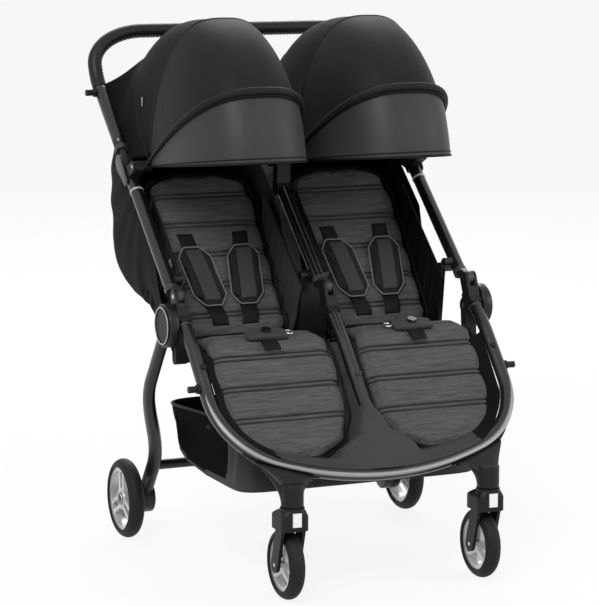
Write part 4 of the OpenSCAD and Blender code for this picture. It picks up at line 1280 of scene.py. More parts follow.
@dataclass
class BackRests:
    """Two quilted backrests, each with a harness of straps and padded sleeves."""

    base: Flat = (68.0, 480.0)
    slope: float = 52.5
    length: float = 415.0
    width: float = 258.0
    thick: float = 26.0
    corner: float = 30.0
    fill: float = 0.6
    channels: tuple[float, ...] = (54.0, 128.0, 204.0, 280.0, 354.0)
    shares: Table = ((0.0, 0.94), (0.12, 1.0), (0.8, 1.0), (0.93, 0.9), (1.0, 0.66))
    strap_in: float = 40.0
    strap_out: float = 66.0
    strap_w: float = 36.0
    strap_t: float = 2.4
    strap_low: float = 26.0
    strap_high: float = 264.0
    strap_loop: float = 7.0
    sleeve_w: float = 74.0
    sleeve_len: float = 146.0
    sleeve_t: float = 14.0
    sleeve_low: float = 72.0
    sleeve_shares: Table = ((0.0, 0.58), (0.2, 1.0), (0.8, 1.0), (1.0, 0.58))
    sleeve_fill: float = 0.5
    sleeve_piping: float = 1.9
    slots: tuple[float, ...] = (264.0, 322.0)
    slot_w: float = 50.0
    slot_lip: float = 2.6
    slot_steps: int = 16
    slot_crown: Flat = (2.2, 0.03)
    band_end: float = 10.0
    band_low: float = 0.5
    band_t: float = 1.6
    band_ray: float = 60.0
    piping_r: float = 2.7
    sunk: float = 1.2
    lift: float = 1.2

    def half(self, v: float) -> float:
        """Half width of a backrest at a share of its height."""
        return self.width / 2 * read_table(self.shares, v)

    def place(self, side: Side, x: float, d: float, h: float) -> Vector:
        """A point of a backrest, from its flat place."""
        a = math.radians(self.slope)
        y, z = self.base
        out = h - self.thick
        return LINES.at(side.value * (LINES.seat_x + x), y + d * math.cos(a) - out * math.sin(a),
                        z + d * math.sin(a) + out * math.cos(a))

    def pads(self) -> None:
        """Makes both back pads and their piping."""
        cut = Cushion("back_pad", self.length, self.half, self.thick - self.sunk, self.channels,
                      corner=self.corner)
        for side in Side:
            body, place = f"back_{side.word}", partial(self.place, side)
            cut.laid(f"back_cushion_{side.word}", 9.0 + side.value, place, (SLUB, body, self.fill),
                     f"back_pad_{side.word}")
            cut.piped(f"back_piping_{side.word}", place, 0.5 * self.thick - 1, self.piping_r, (PIPING, body))

    def strap_mid(self, sign: int, d: float) -> float:
        """Distance of a strap's middle from the seat's middle, at a height up the pad."""
        share = (d - self.sleeve_low) / (self.strap_high - self.sleeve_low)
        return sign * between(self.strap_in, self.strap_out, share)

    def strap(self, side: Side, sign: int) -> BMesh:
        """One shoulder strap, flat on the pad, with a loop of spare webbing below its sleeve.

        Args:
            side: Which seat.
            sign: Which strap of the seat.

        Returns:
            The strap.
        """
        low, high = self.strap_low, self.strap_high

        def place(u: float, v: float, w: float) -> Vector:
            d = between(low, high, v)
            loop = math.sin(math.pi * clamped((self.sleeve_low - d) / (self.sleeve_low - low)))
            sink = smooth_step((v - 0.95) / 0.05)
            h = self.thick + self.lift + self.strap_loop * (loop - sink) + self.strap_t * w
            return self.place(side, self.strap_mid(sign, d) + self.strap_w * (u - 0.5), d, h)

        return Maker.slab(6, 60, place)

    def sleeve_half(self, v: float) -> float:
        """Half width of a sleeve at a share of its length."""
        return self.sleeve_w / 2 * read_table(self.sleeve_shares, v)

    def sleeve_cut(self) -> Cushion:
        """The flat sleeve: a pad with drawn-in ends and no channels."""
        return Cushion("sleeve", self.sleeve_len, self.sleeve_half, self.sleeve_t * 0.8, (-99.0,),
                       start_share=0.5, voxel=4.0, swell=5.0, corner=8.0)

    def on_strap(self, side: Side, sign: int, x: float, along: float, up: float) -> Vector:
        """A point of a sleeve, from its flat place."""
        d, h = self.sleeve_low + along, self.thick + self.lift + self.strap_t / 2 + up
        return self.place(side, self.strap_mid(sign, d) + x, d, h)

    def sleeve(self, cut: Cushion, side: Side, sign: int) -> None:
        """Makes one padded sleeve with its pale piping and the webbing sewn down its middle.

        Args:
            cut: The flat sleeve.
            side: Which seat.
            sign: Which strap of the seat.
        """
        body, tail = f"back_{side.word}", f"{side.word}_{1 if sign < 0 else 2}"
        seed, place = 20.0 + side.value + sign, partial(self.on_strap, side, sign)
        flat = cut.sewn(seed)
        tree = BVHTree.FromBMesh(flat)
        flat.free()

        def band(u: float, v: float, w: float) -> Vector:
            x = self.strap_w * (u - 0.5)
            d = between(self.band_end, self.sleeve_len - self.band_end, v)
            hit = tree.ray_cast(Vector((x, d, self.band_ray)), -UP)[0]
            return place(x, d, (hit.z if hit else 0.0) + self.band_low + self.band_t * w)

        web = Maker.slab(8, 40, band)
        cut.laid(f"shoulder_sleeve_{tail}", seed, place, (SLEEVE, body, self.sleeve_fill))
        Maker.piece(f"sleeve_webbing_{tail}", web, PLAIN_GREY, body)
        cut.piped(f"sleeve_piping_{tail}", place, 0.5 * self.sleeve_t - 1, self.sleeve_piping,
                  (PALE_PIPING, body))

    def slits(self, side: Side) -> None:
        """Makes the bound slits that the straps can pass through.

        Args:
            side: Which seat.
        """
        def lip(d: float, sign: int, off: float) -> BMesh:
            line = []
            for k in range(self.slot_steps + 1):
                x = self.strap_mid(sign, d) + self.slot_w * (k / self.slot_steps - 0.5)
                crown = self.slot_crown[0] - self.slot_crown[1] * (k - self.slot_steps / 2) ** 2
                line.append(self.place(side, x, d + off, self.thick + crown))
            return Maker.tube(line, lambda share: 0.8 + 1.5 * math.sin(math.pi * share))

        offs = (-self.slot_lip, self.slot_lip)
        lips = [lip(d, sign, off) for d in self.slots for sign in (-1, 1) for off in offs]
        Maker.piece(f"strap_slits_{side.word}", Maker.join(lips), SLUB, f"back_{side.word}")

    def harness(self) -> None:
        """Makes the straps, their sleeves and their slits."""
        cut = self.sleeve_cut()
        for side in Side:
            for number, sign in enumerate((-1, 1), 1):
                name = f"shoulder_strap_{side.word}_{number}"
                strap = Maker.piece(name, self.strap(side, sign), WEBBING, f"back_{side.word}")
                if number == 1:
                    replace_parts(strap, f"harness_{side.word}")
                self.sleeve(cut, side, sign)
            self.slits(side)

    def build(self) -> None:
        """Makes both backrests."""
        self.pads()
        self.harness()


@dataclass
class Buckles:
    """A padded cover over each crotch buckle, lying across the crest, with its webbing and ring."""

    width: float = 96.0
    length: float = 40.0
    thick: float = 20.0
    fill: float = 0.5
    droop: float = 5.0
    gap: float = 0.4
    ring_r: float = 11.0
    ring_wire: float = 1.7
    ring_out: float = 8.0
    ring_steps: int = 28
    tongue_w: float = 36.0
    tongue_t: float = 2.4
    tongue_lap: float = 6.0
    tongue_len: float = 34.0
    tongue_fall: float = 7.0

    def __post_init__(self) -> None:
        """Finds the middle of the crest."""
        self.crest = PATH.flat_len + PATH.crest_len / 2
        self.slope = PATH.angle(self.crest)

    def place(self, side: Side, x: float, y: float, h: float) -> Vector:
        """A point over the crest."""
        base = PATH.at(side.value * (LINES.seat_x + x), self.crest, self.gap + h)
        return base + Vector((0, -y * math.cos(self.slope), y * math.sin(self.slope))) * MM

    def half(self, v: float) -> float:
        """Half width of a cover at a share of its length."""
        return self.width / 2 * (1 - 0.12 * abs(2 * v - 1) ** 3)

    def drooped(self, side: Side, x: float, d: float, h: float) -> Vector:
        """A point of a cover, whose ends droop, from its flat place."""
        droop = self.droop * (abs(x) / (self.width / 2)) ** 3
        return self.place(side, x, d - self.length / 2 + droop, h)

    def build(self) -> None:
        """Makes both covers with their webbing and rings."""
        cut = Cushion("buckle_cover", self.length, self.half, self.thick * 0.86, (0.5 * self.length,),
                      seam_gap=0.0, seam_depth=1.0, dip_depth=1.4, dip_w=8.0, start_share=0.6, voxel=4.0,
                      swell=5.0, corner=12.0)
        for side in Side:
            cut.laid(f"buckle_cover_{side.word}", 31.0 + side.value, partial(self.drooped, side),
                     (PLAIN_GREY, "chassis", self.fill), f"buckle_{side.word}")
            self.tongue(side)
            self.ring(side)

    def tongue(self, side: Side) -> None:
        """Makes the crotch webbing that comes up in front of a cover.

        Args:
            side: Which seat.
        """
        def place(u: float, v: float, w: float) -> Vector:
            y = self.length / 2 - self.tongue_lap + self.tongue_len * v
            h = 3.0 - self.tongue_fall * v * v + self.tongue_t * w
            return self.place(side, self.tongue_w * (u - 0.5), y, h)

        Maker.piece(f"crotch_strap_{side.word}", Maker.slab(6, 14, place), WEBBING, "chassis")

    def ring(self, side: Side) -> None:
        """Makes the D-shaped ring at a cover's inner end.

        Args:
            side: Which seat.
        """
        points = []
        for k in range(self.ring_steps):
            a = 2 * math.pi * k / self.ring_steps
            x = self.ring_r * math.cos(a) * (0.62 if math.cos(a) < 0 else 1.0)
            y = self.ring_r * math.sin(a) - 4
            points.append(self.place(side, x - self.width / 2 - self.ring_out, y, 7 + 2 * math.sin(a)))
        wire = Maker.tube(points, self.ring_wire, closed=True)
        Maker.piece(f"harness_ring_{side.word}", wire, STEEL, "chassis")


@dataclass
class SeatSling:
    """The smooth sling under both seat pads, which comes up over the spar as an apron and onto the loop."""

    half_w: float = 323.0
    under: float = 28.8
    tube_clear: float = 15.2
    ridge: float = 16.8
    ridge_w: float = 120.0
    peak_run: float = 64.0
    peak_fade: float = 36.0
    rise_w: float = 20.0
    flat_x: float = 16.0
    side_drop: float = 2.0
    tube_near: float = 60.0
    tuck_x: float = 215.0
    tuck_w: float = 75.0
    start: float = 18.0
    side_x: float = 228.0
    front_inset: float = 2.5
    wall: float = 1.8
    spare: float = 1.08
    snap_run: float = 97.0
    snap_r: float = 8.0
    rows_back: int = 26
    rows_front: int = 74
    columns: int = 128

    def __post_init__(self) -> None:
        """Finds the sling's lowest line in the plane of the loop."""
        self.pads = SeatPads()
        crest_end = PATH.flat_len + PATH.crest_len
        self.run0, self.off0 = self.in_loop(PATH.at(0, crest_end, -self.under))
        self.run1, self.off1 = self.in_loop(PATH.at(0, PATH.length, -self.under))
        self.crest_end = crest_end

    def in_loop(self, point: Vector) -> Flat:
        """A point's distance down the loop and off its plane.

        Args:
            point: A point in the frame.

        Returns:
            The two distances, in millimetres.
        """
        away = (point - LINES.loop(0, 0)) / MM
        a = math.radians(LINES.loop_slope)
        return (-away.y * math.cos(a) - away.z * math.sin(a), -away.y * math.sin(a) + away.z * math.cos(a))

    def inset(self, x: float, run: float) -> float:
        """Distance of a point in the loop's plane inside the tube's middle line.

        Args:
            x: Distance across.
            run: Distance down from the bend.

        Returns:
            The distance, which is negative outside.
        """
        far = abs(x)
        if run <= LINES.loop_side:
            return LINES.tube_x - far
        if math.atan2(run - LINES.loop_side, far - LINES.loop_corner_x) < LINES.loop_turn:
            return LINES.loop_corner_r - math.hypot(far - LINES.loop_corner_x, run - LINES.loop_side)
        return LINES.loop_front_r - math.hypot(x, run - LINES.loop_len + LINES.loop_front_r)

    def end_run(self, x: float) -> float:
        """Distance down the loop at which the sling ends.

        Args:
            x: Distance across.

        Returns:
            The distance.
        """
        tucked = smooth_step((abs(x) - self.tuck_x) / self.tuck_w)
        inset = between(self.front_inset, self.tube_clear, tucked)
        low, high = self.run0, LINES.loop_len
        for _ in range(40):
            mid = (low + high) / 2
            low, high = (mid, high) if self.inset(x, mid) > inset else (low, mid)
        return low

    def clear_of_pads(self, x: float, run: float) -> float:
        """How far a point lies outside the outline of the nearer pad.

        Args:
            x: Distance across.
            run: Distance down the loop.

        Returns:
            The distance, which is zero under the pad.
        """
        share = (self.crest_end + run - self.run0) / PATH.length
        beside = max(0.0, abs(abs(x) - LINES.seat_x) - self.pads.half(min(1.0, share)))
        return math.hypot(beside, max(0.0, run - self.run1))

    def lift(self, x: float, run: float) -> float:
        """Height of the sling off the loop's plane.

        Args:
            x: Distance across.
            run: Distance down the loop.

        Returns:
            The height.
        """
        well = between(self.off0, self.off1, (run - self.run0) / (self.run1 - self.run0))
        rise = smooth_step(self.clear_of_pads(x, run) / self.rise_w)
        peak = smooth_step((run - self.peak_run) / self.peak_fade)
        centre = self.ridge * peak + well * (1 - peak)
        side = smooth_step((abs(x) - self.flat_x) / self.ridge_w)
        target = centre * (1 - side) - self.side_drop * side
        inset = self.inset(x, run)
        near = smooth_step(1 - (inset - self.tube_clear) / self.tube_near)
        height = between(well, target, rise)
        height += (max(height, 0.0) - height) * near
        if inset < self.tube_clear:
            height = max(height, math.sqrt(self.tube_clear ** 2 - max(0.0, inset) ** 2))
        return height

    def cloth(self) -> BMesh:
        """The sling's sheet.

        Returns:
            The sheet.
        """
        rows = self.rows_back + self.rows_front

        def place(u: float, v: float) -> Vector:
            x = self.half_w * (2 * u - 1)
            k = v * rows
            if k <= self.rows_back:
                return PATH.at(x, between(self.start, self.crest_end, k / self.rows_back), -self.under)
            run = between(self.run0, self.end_run(x), (k - self.rows_back) / self.rows_front)
            return LINES.loop(x, run, self.lift(x, run))

        bm = Maker.sheet(self.columns, rows, place)
        inner = [v for v in bm.verts if not v.is_boundary]
        for _ in range(2):
            Maker.smooth(bm, inner, 0.4)
        return bm

    def build(self) -> None:
        """Makes the sling and its snap."""
        sling = Maker.cloth(("apron_sling", self.cloth(), PLAIN_GREY, "chassis", self.wall),
                            (2 * self.half_w * MM, self.spare), "stretched",
                            ["front_loop", "seat_cross_tube"], "seat_sling")
        Maker.patch(sling, WING_BLACK, lambda face: abs(face.center.x) > self.side_x * MM)
        out = (LINES.loop(0, 0, 1) - LINES.loop(0, 0)).normalized()
        face = LINES.loop(0, self.snap_run, self.lift(0, self.snap_run) + 1.6)
        snap = Maker.disc(face, out, self.snap_r, 2.6, 0.8, 36)
        rim = Maker.ring(face + out * 1.3 * MM, out, 0.66 * self.snap_r, 0.7, 36)
        Maker.piece("apron_snap", Maker.join([snap, rim]), GLOSS_PLASTIC, "chassis")


@dataclass
class SeatBuckets:
    """The cloth round the foot of each backrest: one sheet of an outer wing, a floor and an inner wing."""

    wing_out: float = 301.0
    wing_in: float = 37.0
    front_low: Flat = (105.0, 432.0)
    rear_low: Flat = (285.4, 539.5)
    s_low: float = 28.0
    s_high: float = 304.0
    under: float = 15.0
    corner: float = 34.0
    wing_share: float = 0.36
    fold: float = 2.6
    fold_pitch: float = 37.0
    fold_lean: float = 0.25
    uneven: float = 0.5
    uneven_w: float = 42.0
    floor_sag: float = 8.0
    web_sag: float = 10.0
    wall: float = 1.6
    girth: float = 0.62
    spare: float = 1.25
    web_spare: float = 1.05
    strap_ends: tuple[Flat, Flat] = ((112.0, 640.0), (196.0, 566.0))
    strap_w: float = 20.0
    strap_t: float = 1.6
    hem_r: float = 2.2
    across: int = 150
    along: int = 84

    def level(self, v: float, height: float) -> Flat:
        """A point of a wing in the side view.

        Args:
            v: Share from the front edge to the rear.
            height: Share from the lower edge to the upper.

        Returns:
            The point along and up.
        """
        ends = (LINES.tube(s, -self.under) for s in (self.s_low, self.s_high))
        top = [between(a, b, v) for a, b in zip(*ends)]
        low = [between(a, b, v) for a, b in zip(self.front_low, self.rear_low)]
        return between(low[0], top[0], height), between(low[1], top[1], height)

    def section(self, u: float) -> tuple[float, float, float]:
        """The bucket's section from the outer wing's hem to the inner wing's.

        Args:
            u: Share of the section.

        Returns:
            Distance across, height up a wing in millimetres above the floor, and share up the wing.
        """
        rest = 1 - 2 * self.wing_share
        if u < self.wing_share:
            return self.wing_out, 0.0, 1 - u / self.wing_share
        if u > 1 - self.wing_share:
            return self.wing_in, 0.0, (u - 1 + self.wing_share) / self.wing_share
        share = (u - self.wing_share) / rest
        x = between(self.wing_out, self.wing_in, share)
        near = min(x - self.wing_in, self.wing_out - x)
        ease = self.corner - math.sqrt(max(0.0, self.corner ** 2 - max(0.0, self.corner - near) ** 2))
        return x, ease * 0.5, 0.0

    def cloth(self, side: Side) -> BMesh:
        """One bucket's sheet.

        Args:
            side: Which seat.

        Returns:
            The sheet.
        """
        middle = (self.wing_out + self.wing_in) / 2

        def place(u: float, v: float) -> Vector:
            x, ease, up = self.section(u)
            y, z = self.level(v, up)
            wing = abs(x - middle) / (self.wing_out - middle)
            slack = math.sin(math.pi * up) ** 0.6 if 0 < up < 1 else 0.0
            wave = math.sin(2 * math.pi * (y + self.fold_lean * z) / self.fold_pitch)
            wave += self.uneven * fold_noise(Vector((x, y, z)), self.uneven_w, 3.0 + side.value)
            x += (-1 if x < middle else 1) * wing * slack * self.fold * wave
            sag = 0.0
            if up == 0:
                sag = self.floor_sag * math.sin(math.pi * v) ** 0.7 * max(0.0, 1 - wing ** 3)
            return LINES.at(side.value * x, y, z + ease - sag)

        bm = Maker.sheet(self.across, self.along, place)
        inner = [v for v in bm.verts if not v.is_boundary]
        Maker.smooth(bm, inner, 0.5)
        return bm

    def build(self) -> None:
        """Makes both buckets with their hems and adjusting straps, and the web between them."""
        limit = (self.wing_out + self.wing_in) / 2 * MM
        for side in Side:
            wing = (f"seat_wing_{side.word}", self.cloth(side), WING_BLACK, "upper_frame", self.wall)
            shell = Maker.cloth(wing, (self.girth, self.spare), "hung", ["upper_tubes"],
                                f"seat_bucket_{side.word}")
            Maker.patch(shell, PLAIN_GREY, lambda face: abs(face.center.x) < limit)
            for name, x in (("outer", self.wing_out), ("inner", self.wing_in)):
                line = [LINES.at(side.value * x, *self.level(k / 60, 1.0)) for k in range(61)]
                hem = Maker.tube(line, self.hem_r)
                Maker.piece(f"wing_hem_{name}_{side.word}", hem, PIPING, "upper_frame")
            self.adjuster(side)
        self.web()

    def web(self) -> None:
        """Makes the strip of cloth between the two buckets, under the centre tube."""
        def place(u: float, v: float) -> Vector:
            y, z = self.level(v, 0.0)
            return LINES.at(self.wing_in * (2 * u - 1), y, z - self.web_sag * math.sin(math.pi * u))

        width = self.web_spare * 2 * self.wing_in * MM
        Maker.cloth(("centre_web", Maker.sheet(24, 60, place), WING_BLACK, "upper_frame", self.wall),
                    (width, self.web_spare), "hung", ["seat_wing_left", "seat_wing_right"])

    def adjuster(self, side: Side) -> None:
        """Makes the grey recline strap on a bucket's outer wing.

        Args:
            side: Which seat.
        """
        start, end = self.strap_ends

        def place(u: float, v: float, w: float) -> Vector:
            y = between(start[0], end[0], v) + self.strap_w * (u - 0.5) * 0.66
            z = between(start[1], end[1], v) + self.strap_w * (u - 0.5) * 0.75
            out = self.wing_out + 3.0 + self.strap_t * w + 2 * math.sin(math.pi * v)
            return LINES.at(side.value * out, y, z)

        Maker.piece(f"recline_strap_{side.word}", Maker.slab(4, 20, place), PALE_PIPING, "upper_frame")


@dataclass
class SeatBags:
    """The black cloth behind each seat: it hangs from the canopy's rear rib to the foot of the backrest."""

    tube_off: float = 45.0
    edge_off: float = 17.0
    powers: Table = ((-48.0, 2.8), (-30.0, 3.4), (-8.0, 5.0), (106.0, 5.0))
    side_low: float = 46.0
    inner_share: float = 0.2
    reach: Table = (
        (-48.0, 316.0), (-30.0, 318.0), (-10.0, 322.0), (10.0, 327.0), (25.0, 345.0), (36.0, 383.0),
        (46.0, 398.0), (60.0, 364.0), (72.0, 347.0), (81.0, 319.0), (87.0, 322.0), (92.0, 342.0),
        (98.0, 369.0), (106.0, 418.0))
    halves: Table = ((-48.0, 136.5), (-20.0, 138.0), (20.0, 151.5), (106.0, 152.0))
    edge_share: float = 0.965
    free_from: float = 27.0
    free_w: float = 15.0
    calm_from: float = 60.0
    calm_w: float = 18.0
    fold: float = 2.6
    ripples: float = 21.0
    ripple: float = 0.6
    uneven: float = 1.2
    uneven_w: float = 60.0
    mean_r: float = 340.0
    wall: float = 1.4
    girth: float = 0.72
    spare: float = 1.15
    follow: Flat = (0.04, 0.52)
    across: int = 130
    along: int = 150

    def section(self, u: float, fall: float) -> Flat:
        """A point of the bag's section.

        Args:
            u: Share of the section, from the inner tube round the back to the outer.
            fall: Angle below the rear, in degrees.

        Returns:
            The distance from the pivot and the distance across from the seat's middle.
        """
        crown = read_table(self.reach, fall)
        near = math.cos(math.radians(fall - 90 + LINES.tube_slope))
        edge = (self.tube_off + self.edge_off) / max(0.05, near)
        free = self.side_low + 1.3 * crown * smooth_step((fall + self.free_from) / self.free_w)
        low = min(self.edge_share * crown, edge, free)
        return hood_arc(read_table(self.halves, fall), crown, low, read_table(self.powers, fall), u)

    def point(self, side: Side, u: float, v: float) -> Vector:
        """A point of a bag, with its folds.

        Args:
            side: Which seat.
            u: Share across.
            v: Share from the rib down to the foot.

        Returns:
            The point in the frame.
        """
        fall = between(self.reach[0][0], self.reach[-1][0], v)
        r, x = self.section(u, fall)
        loose = 0.0
        if 0 < u < 1:
            loose = math.sin(math.pi * min(1.0, 1.02 * v)) ** 0.7 * math.sin(math.pi * u) ** 0.35
        loose *= 1 - smooth_step((fall - self.calm_from) / self.calm_w)
        wave = math.sin(math.radians(fall) * self.ripples + 0.02 * x) * self.ripple
        wave += self.uneven * fold_noise(Vector((x, 2.2 * fall, r)), self.uneven_w, 40.0 + side.value)
        draw = self.fold * loose * (0.8 + wave)
        x *= 1 - draw / self.halves[-1][1]
        r *= 1 - 1.4 * draw / self.mean_r
        return hood_point(side, r, x, -fall)

    def build(self) -> None:
        """Makes both bags."""
        inner = self.inner_share * self.across
        for side in Side:
            bm = Maker.sheet(self.across, self.along, partial(self.point, side))
            bag = Maker.cloth((f"seat_bag_{side.word}", bm, WING_BLACK, None, self.wall),
                              (self.girth, self.spare), "hung",
                              ["upper_tubes", f"canopy_rib_rear_{side.word}"])
            Maker.patch(bag, PLAIN_GREY, lambda face: face.index % self.across < inner)
            start, end = (self.point(side, 0.5, v) for v in self.follow)
            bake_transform(bag)
            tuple(start)
            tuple(end)


@dataclass
class Basket:
    """The basket under the seats: net sides, a cloth front and floor, and a bound rim."""

    half_w: float = 273.0
    low_z: float = 199.0
    low_front: float = -205.0
    low_rear: float = 194.0
    high_front: Flat = (-165.0, 345.0)
    high_rear: Flat = (240.0, 316.0)
    rear_lift: float = 26.0
    hem_share: float = 2 / 22
    cross_from: float = 50.0
    cross_to: float = 205.0
    sag: float = 9.0
    power: float = 2 / 11
    lift_from: float = 60.0
    lift_w: float = 120.0
    pitch: float = 31.0
    pull: Flat = (3.4, 2.6)
    front_cloth: float = -118.0
    rim_r: float = 3.2
    rim_dip: float = 4.0
    wall: float = 1.6
    girth: float = 0.90
    spare: float = 1.2
    strap_y: float = -16.6
    strap_z: Flat = (300.0, 442.0)
    strap_w: float = 25.0
    strap_t: float = 2.0
    around: int = 150
    wall_rows: int = 22
    floor_rows: int = 16

    def outline(self, share: float, v: float) -> tuple[float, float, float]:
        """A point of the basket's outline at a height.

        Args:
            share: Share round the outline.
            v: Share of the height.

        Returns:
            The point across, along and up.
        """
        front = between(self.low_front, self.high_front[0], v)
        rear = between(self.low_rear, self.high_rear[0], v)
        a = 2 * math.pi * share
        x = self.half_w * math.copysign(abs(math.cos(a)) ** self.power, math.cos(a))
        ease = math.copysign(abs(math.sin(a)) ** self.power, math.sin(a))
        y = (rear + front) / 2 + (rear - front) / 2 * ease
        top = between(self.high_front[1], self.high_rear[1], (ease + 1) / 2)
        return x, y, between(self.low_z, top, v)

    def raised(self, y: float, v: float) -> float:
        """How far the cloth is drawn up at its rear, at a share of the height."""
        return self.rear_lift * (1 - v) ** 2 * smooth_step((y - self.lift_from) / self.lift_w)

    def hem(self, y: float) -> float:
        """Height at which the charcoal floor turns into the net, at a distance along.

        Args:
            y: Distance along.

        Returns:
            The height.
        """
        share = (y - self.low_front) / (self.high_rear[0] - self.low_front)
        top = between(self.high_front[1], self.high_rear[1], share)
        return between(self.low_z, top, self.hem_share) + self.raised(y, self.hem_share)

    def dip(self, share: float) -> float:
        """How far the rim hangs down at a share round it."""
        return self.rim_dip * (1 - math.sin(2 * math.pi * share) ** 2)

    def shell(self) -> BMesh:
        """The basket's sheet, from the middle of its floor to its rim.

        Returns:
            The sheet.
        """
        rows = self.wall_rows + self.floor_rows

        def place(u: float, v: float) -> Vector:
            k = v * rows
            if k <= self.floor_rows:
                share = k / self.floor_rows
                x, y, z = self.outline(u, 0.0)
                mid = (self.low_front + self.low_rear) / 2
                along = between(mid, y, share)
                z += self.raised(along, 0.0) - self.sag * (1 - share ** 2)
                return LINES.at(x * share, along, z)
            share = (k - self.floor_rows) / self.wall_rows
            x, y, z = self.outline(u, share)
            gather = math.sin(2 * math.pi * y / self.pitch + 2.2 * fold_noise(Vector((x, y, z)), 70, 8.0))
            pull = math.sin(math.pi * min(1.0, 1.06 * share)) * (self.pull[0] + self.pull[1] * gather)
            x -= math.copysign(pull, x) * (abs(x) / self.half_w) ** 4
            return LINES.at(x, y, z + self.raised(y, share) - share * self.dip(u))

        bm = Maker.sheet(self.around, rows, place)
        bmesh.ops.remove_doubles(bm, verts=bm.verts[:], dist=1e-5)
        return Maker.outward(bm)

    def charcoal(self, face: bpy.types.MeshPolygon) -> bool:
        """Whether a face belongs to the cloth at the front and the floor."""
        y = (face.center.y - LINES.mid_y) / MM
        return y < self.front_cloth or face.center.z / MM < self.hem(y)

    def build(self) -> None:
        """Makes the basket, its rim and its two straps."""
        tub = Maker.cloth(("basket_tub", self.shell(), NET, None, self.wall), (self.girth, self.spare),
                          "hung", ["seat_cross_tube"], "basket")
        Maker.patch(tub, PLAIN_GREY, self.charcoal)
        self.follow(tub)
        line = []
        for k in range(self.around):
            x, y, z = self.outline(k / self.around, 1.0)
            line.append(LINES.at(x, y, z - self.dip(k / self.around)))
        self.follow(Maker.piece("basket_rim", Maker.tube(line, self.rim_r, closed=True), PIPING, None))
        for side in Side:
            def place(u: float, v: float, w: float, sign: int = side.value) -> Vector:
                x = self.half_w - 2.4 + self.strap_t * w
                return LINES.at(sign * x, self.strap_y + self.strap_w * (u - 0.5), between(*self.strap_z, v))

            Maker.piece(f"basket_strap_{side.word}", Maker.slab(4, 12, place), WEBBING, "chassis")

    def follow(self, piece: Object) -> None:
        """Bakes a piece's place into its mesh."""
        start, end = (LINES.at(0, y, self.low_z) for y in (self.cross_from, self.cross_to))
        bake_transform(piece)
        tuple(start)
        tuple(end)


class Panel(Enum):
    """The cloth panels of a canopy, with their step outwards."""

    REAR = 0
    MID = 1
    VISOR = 2


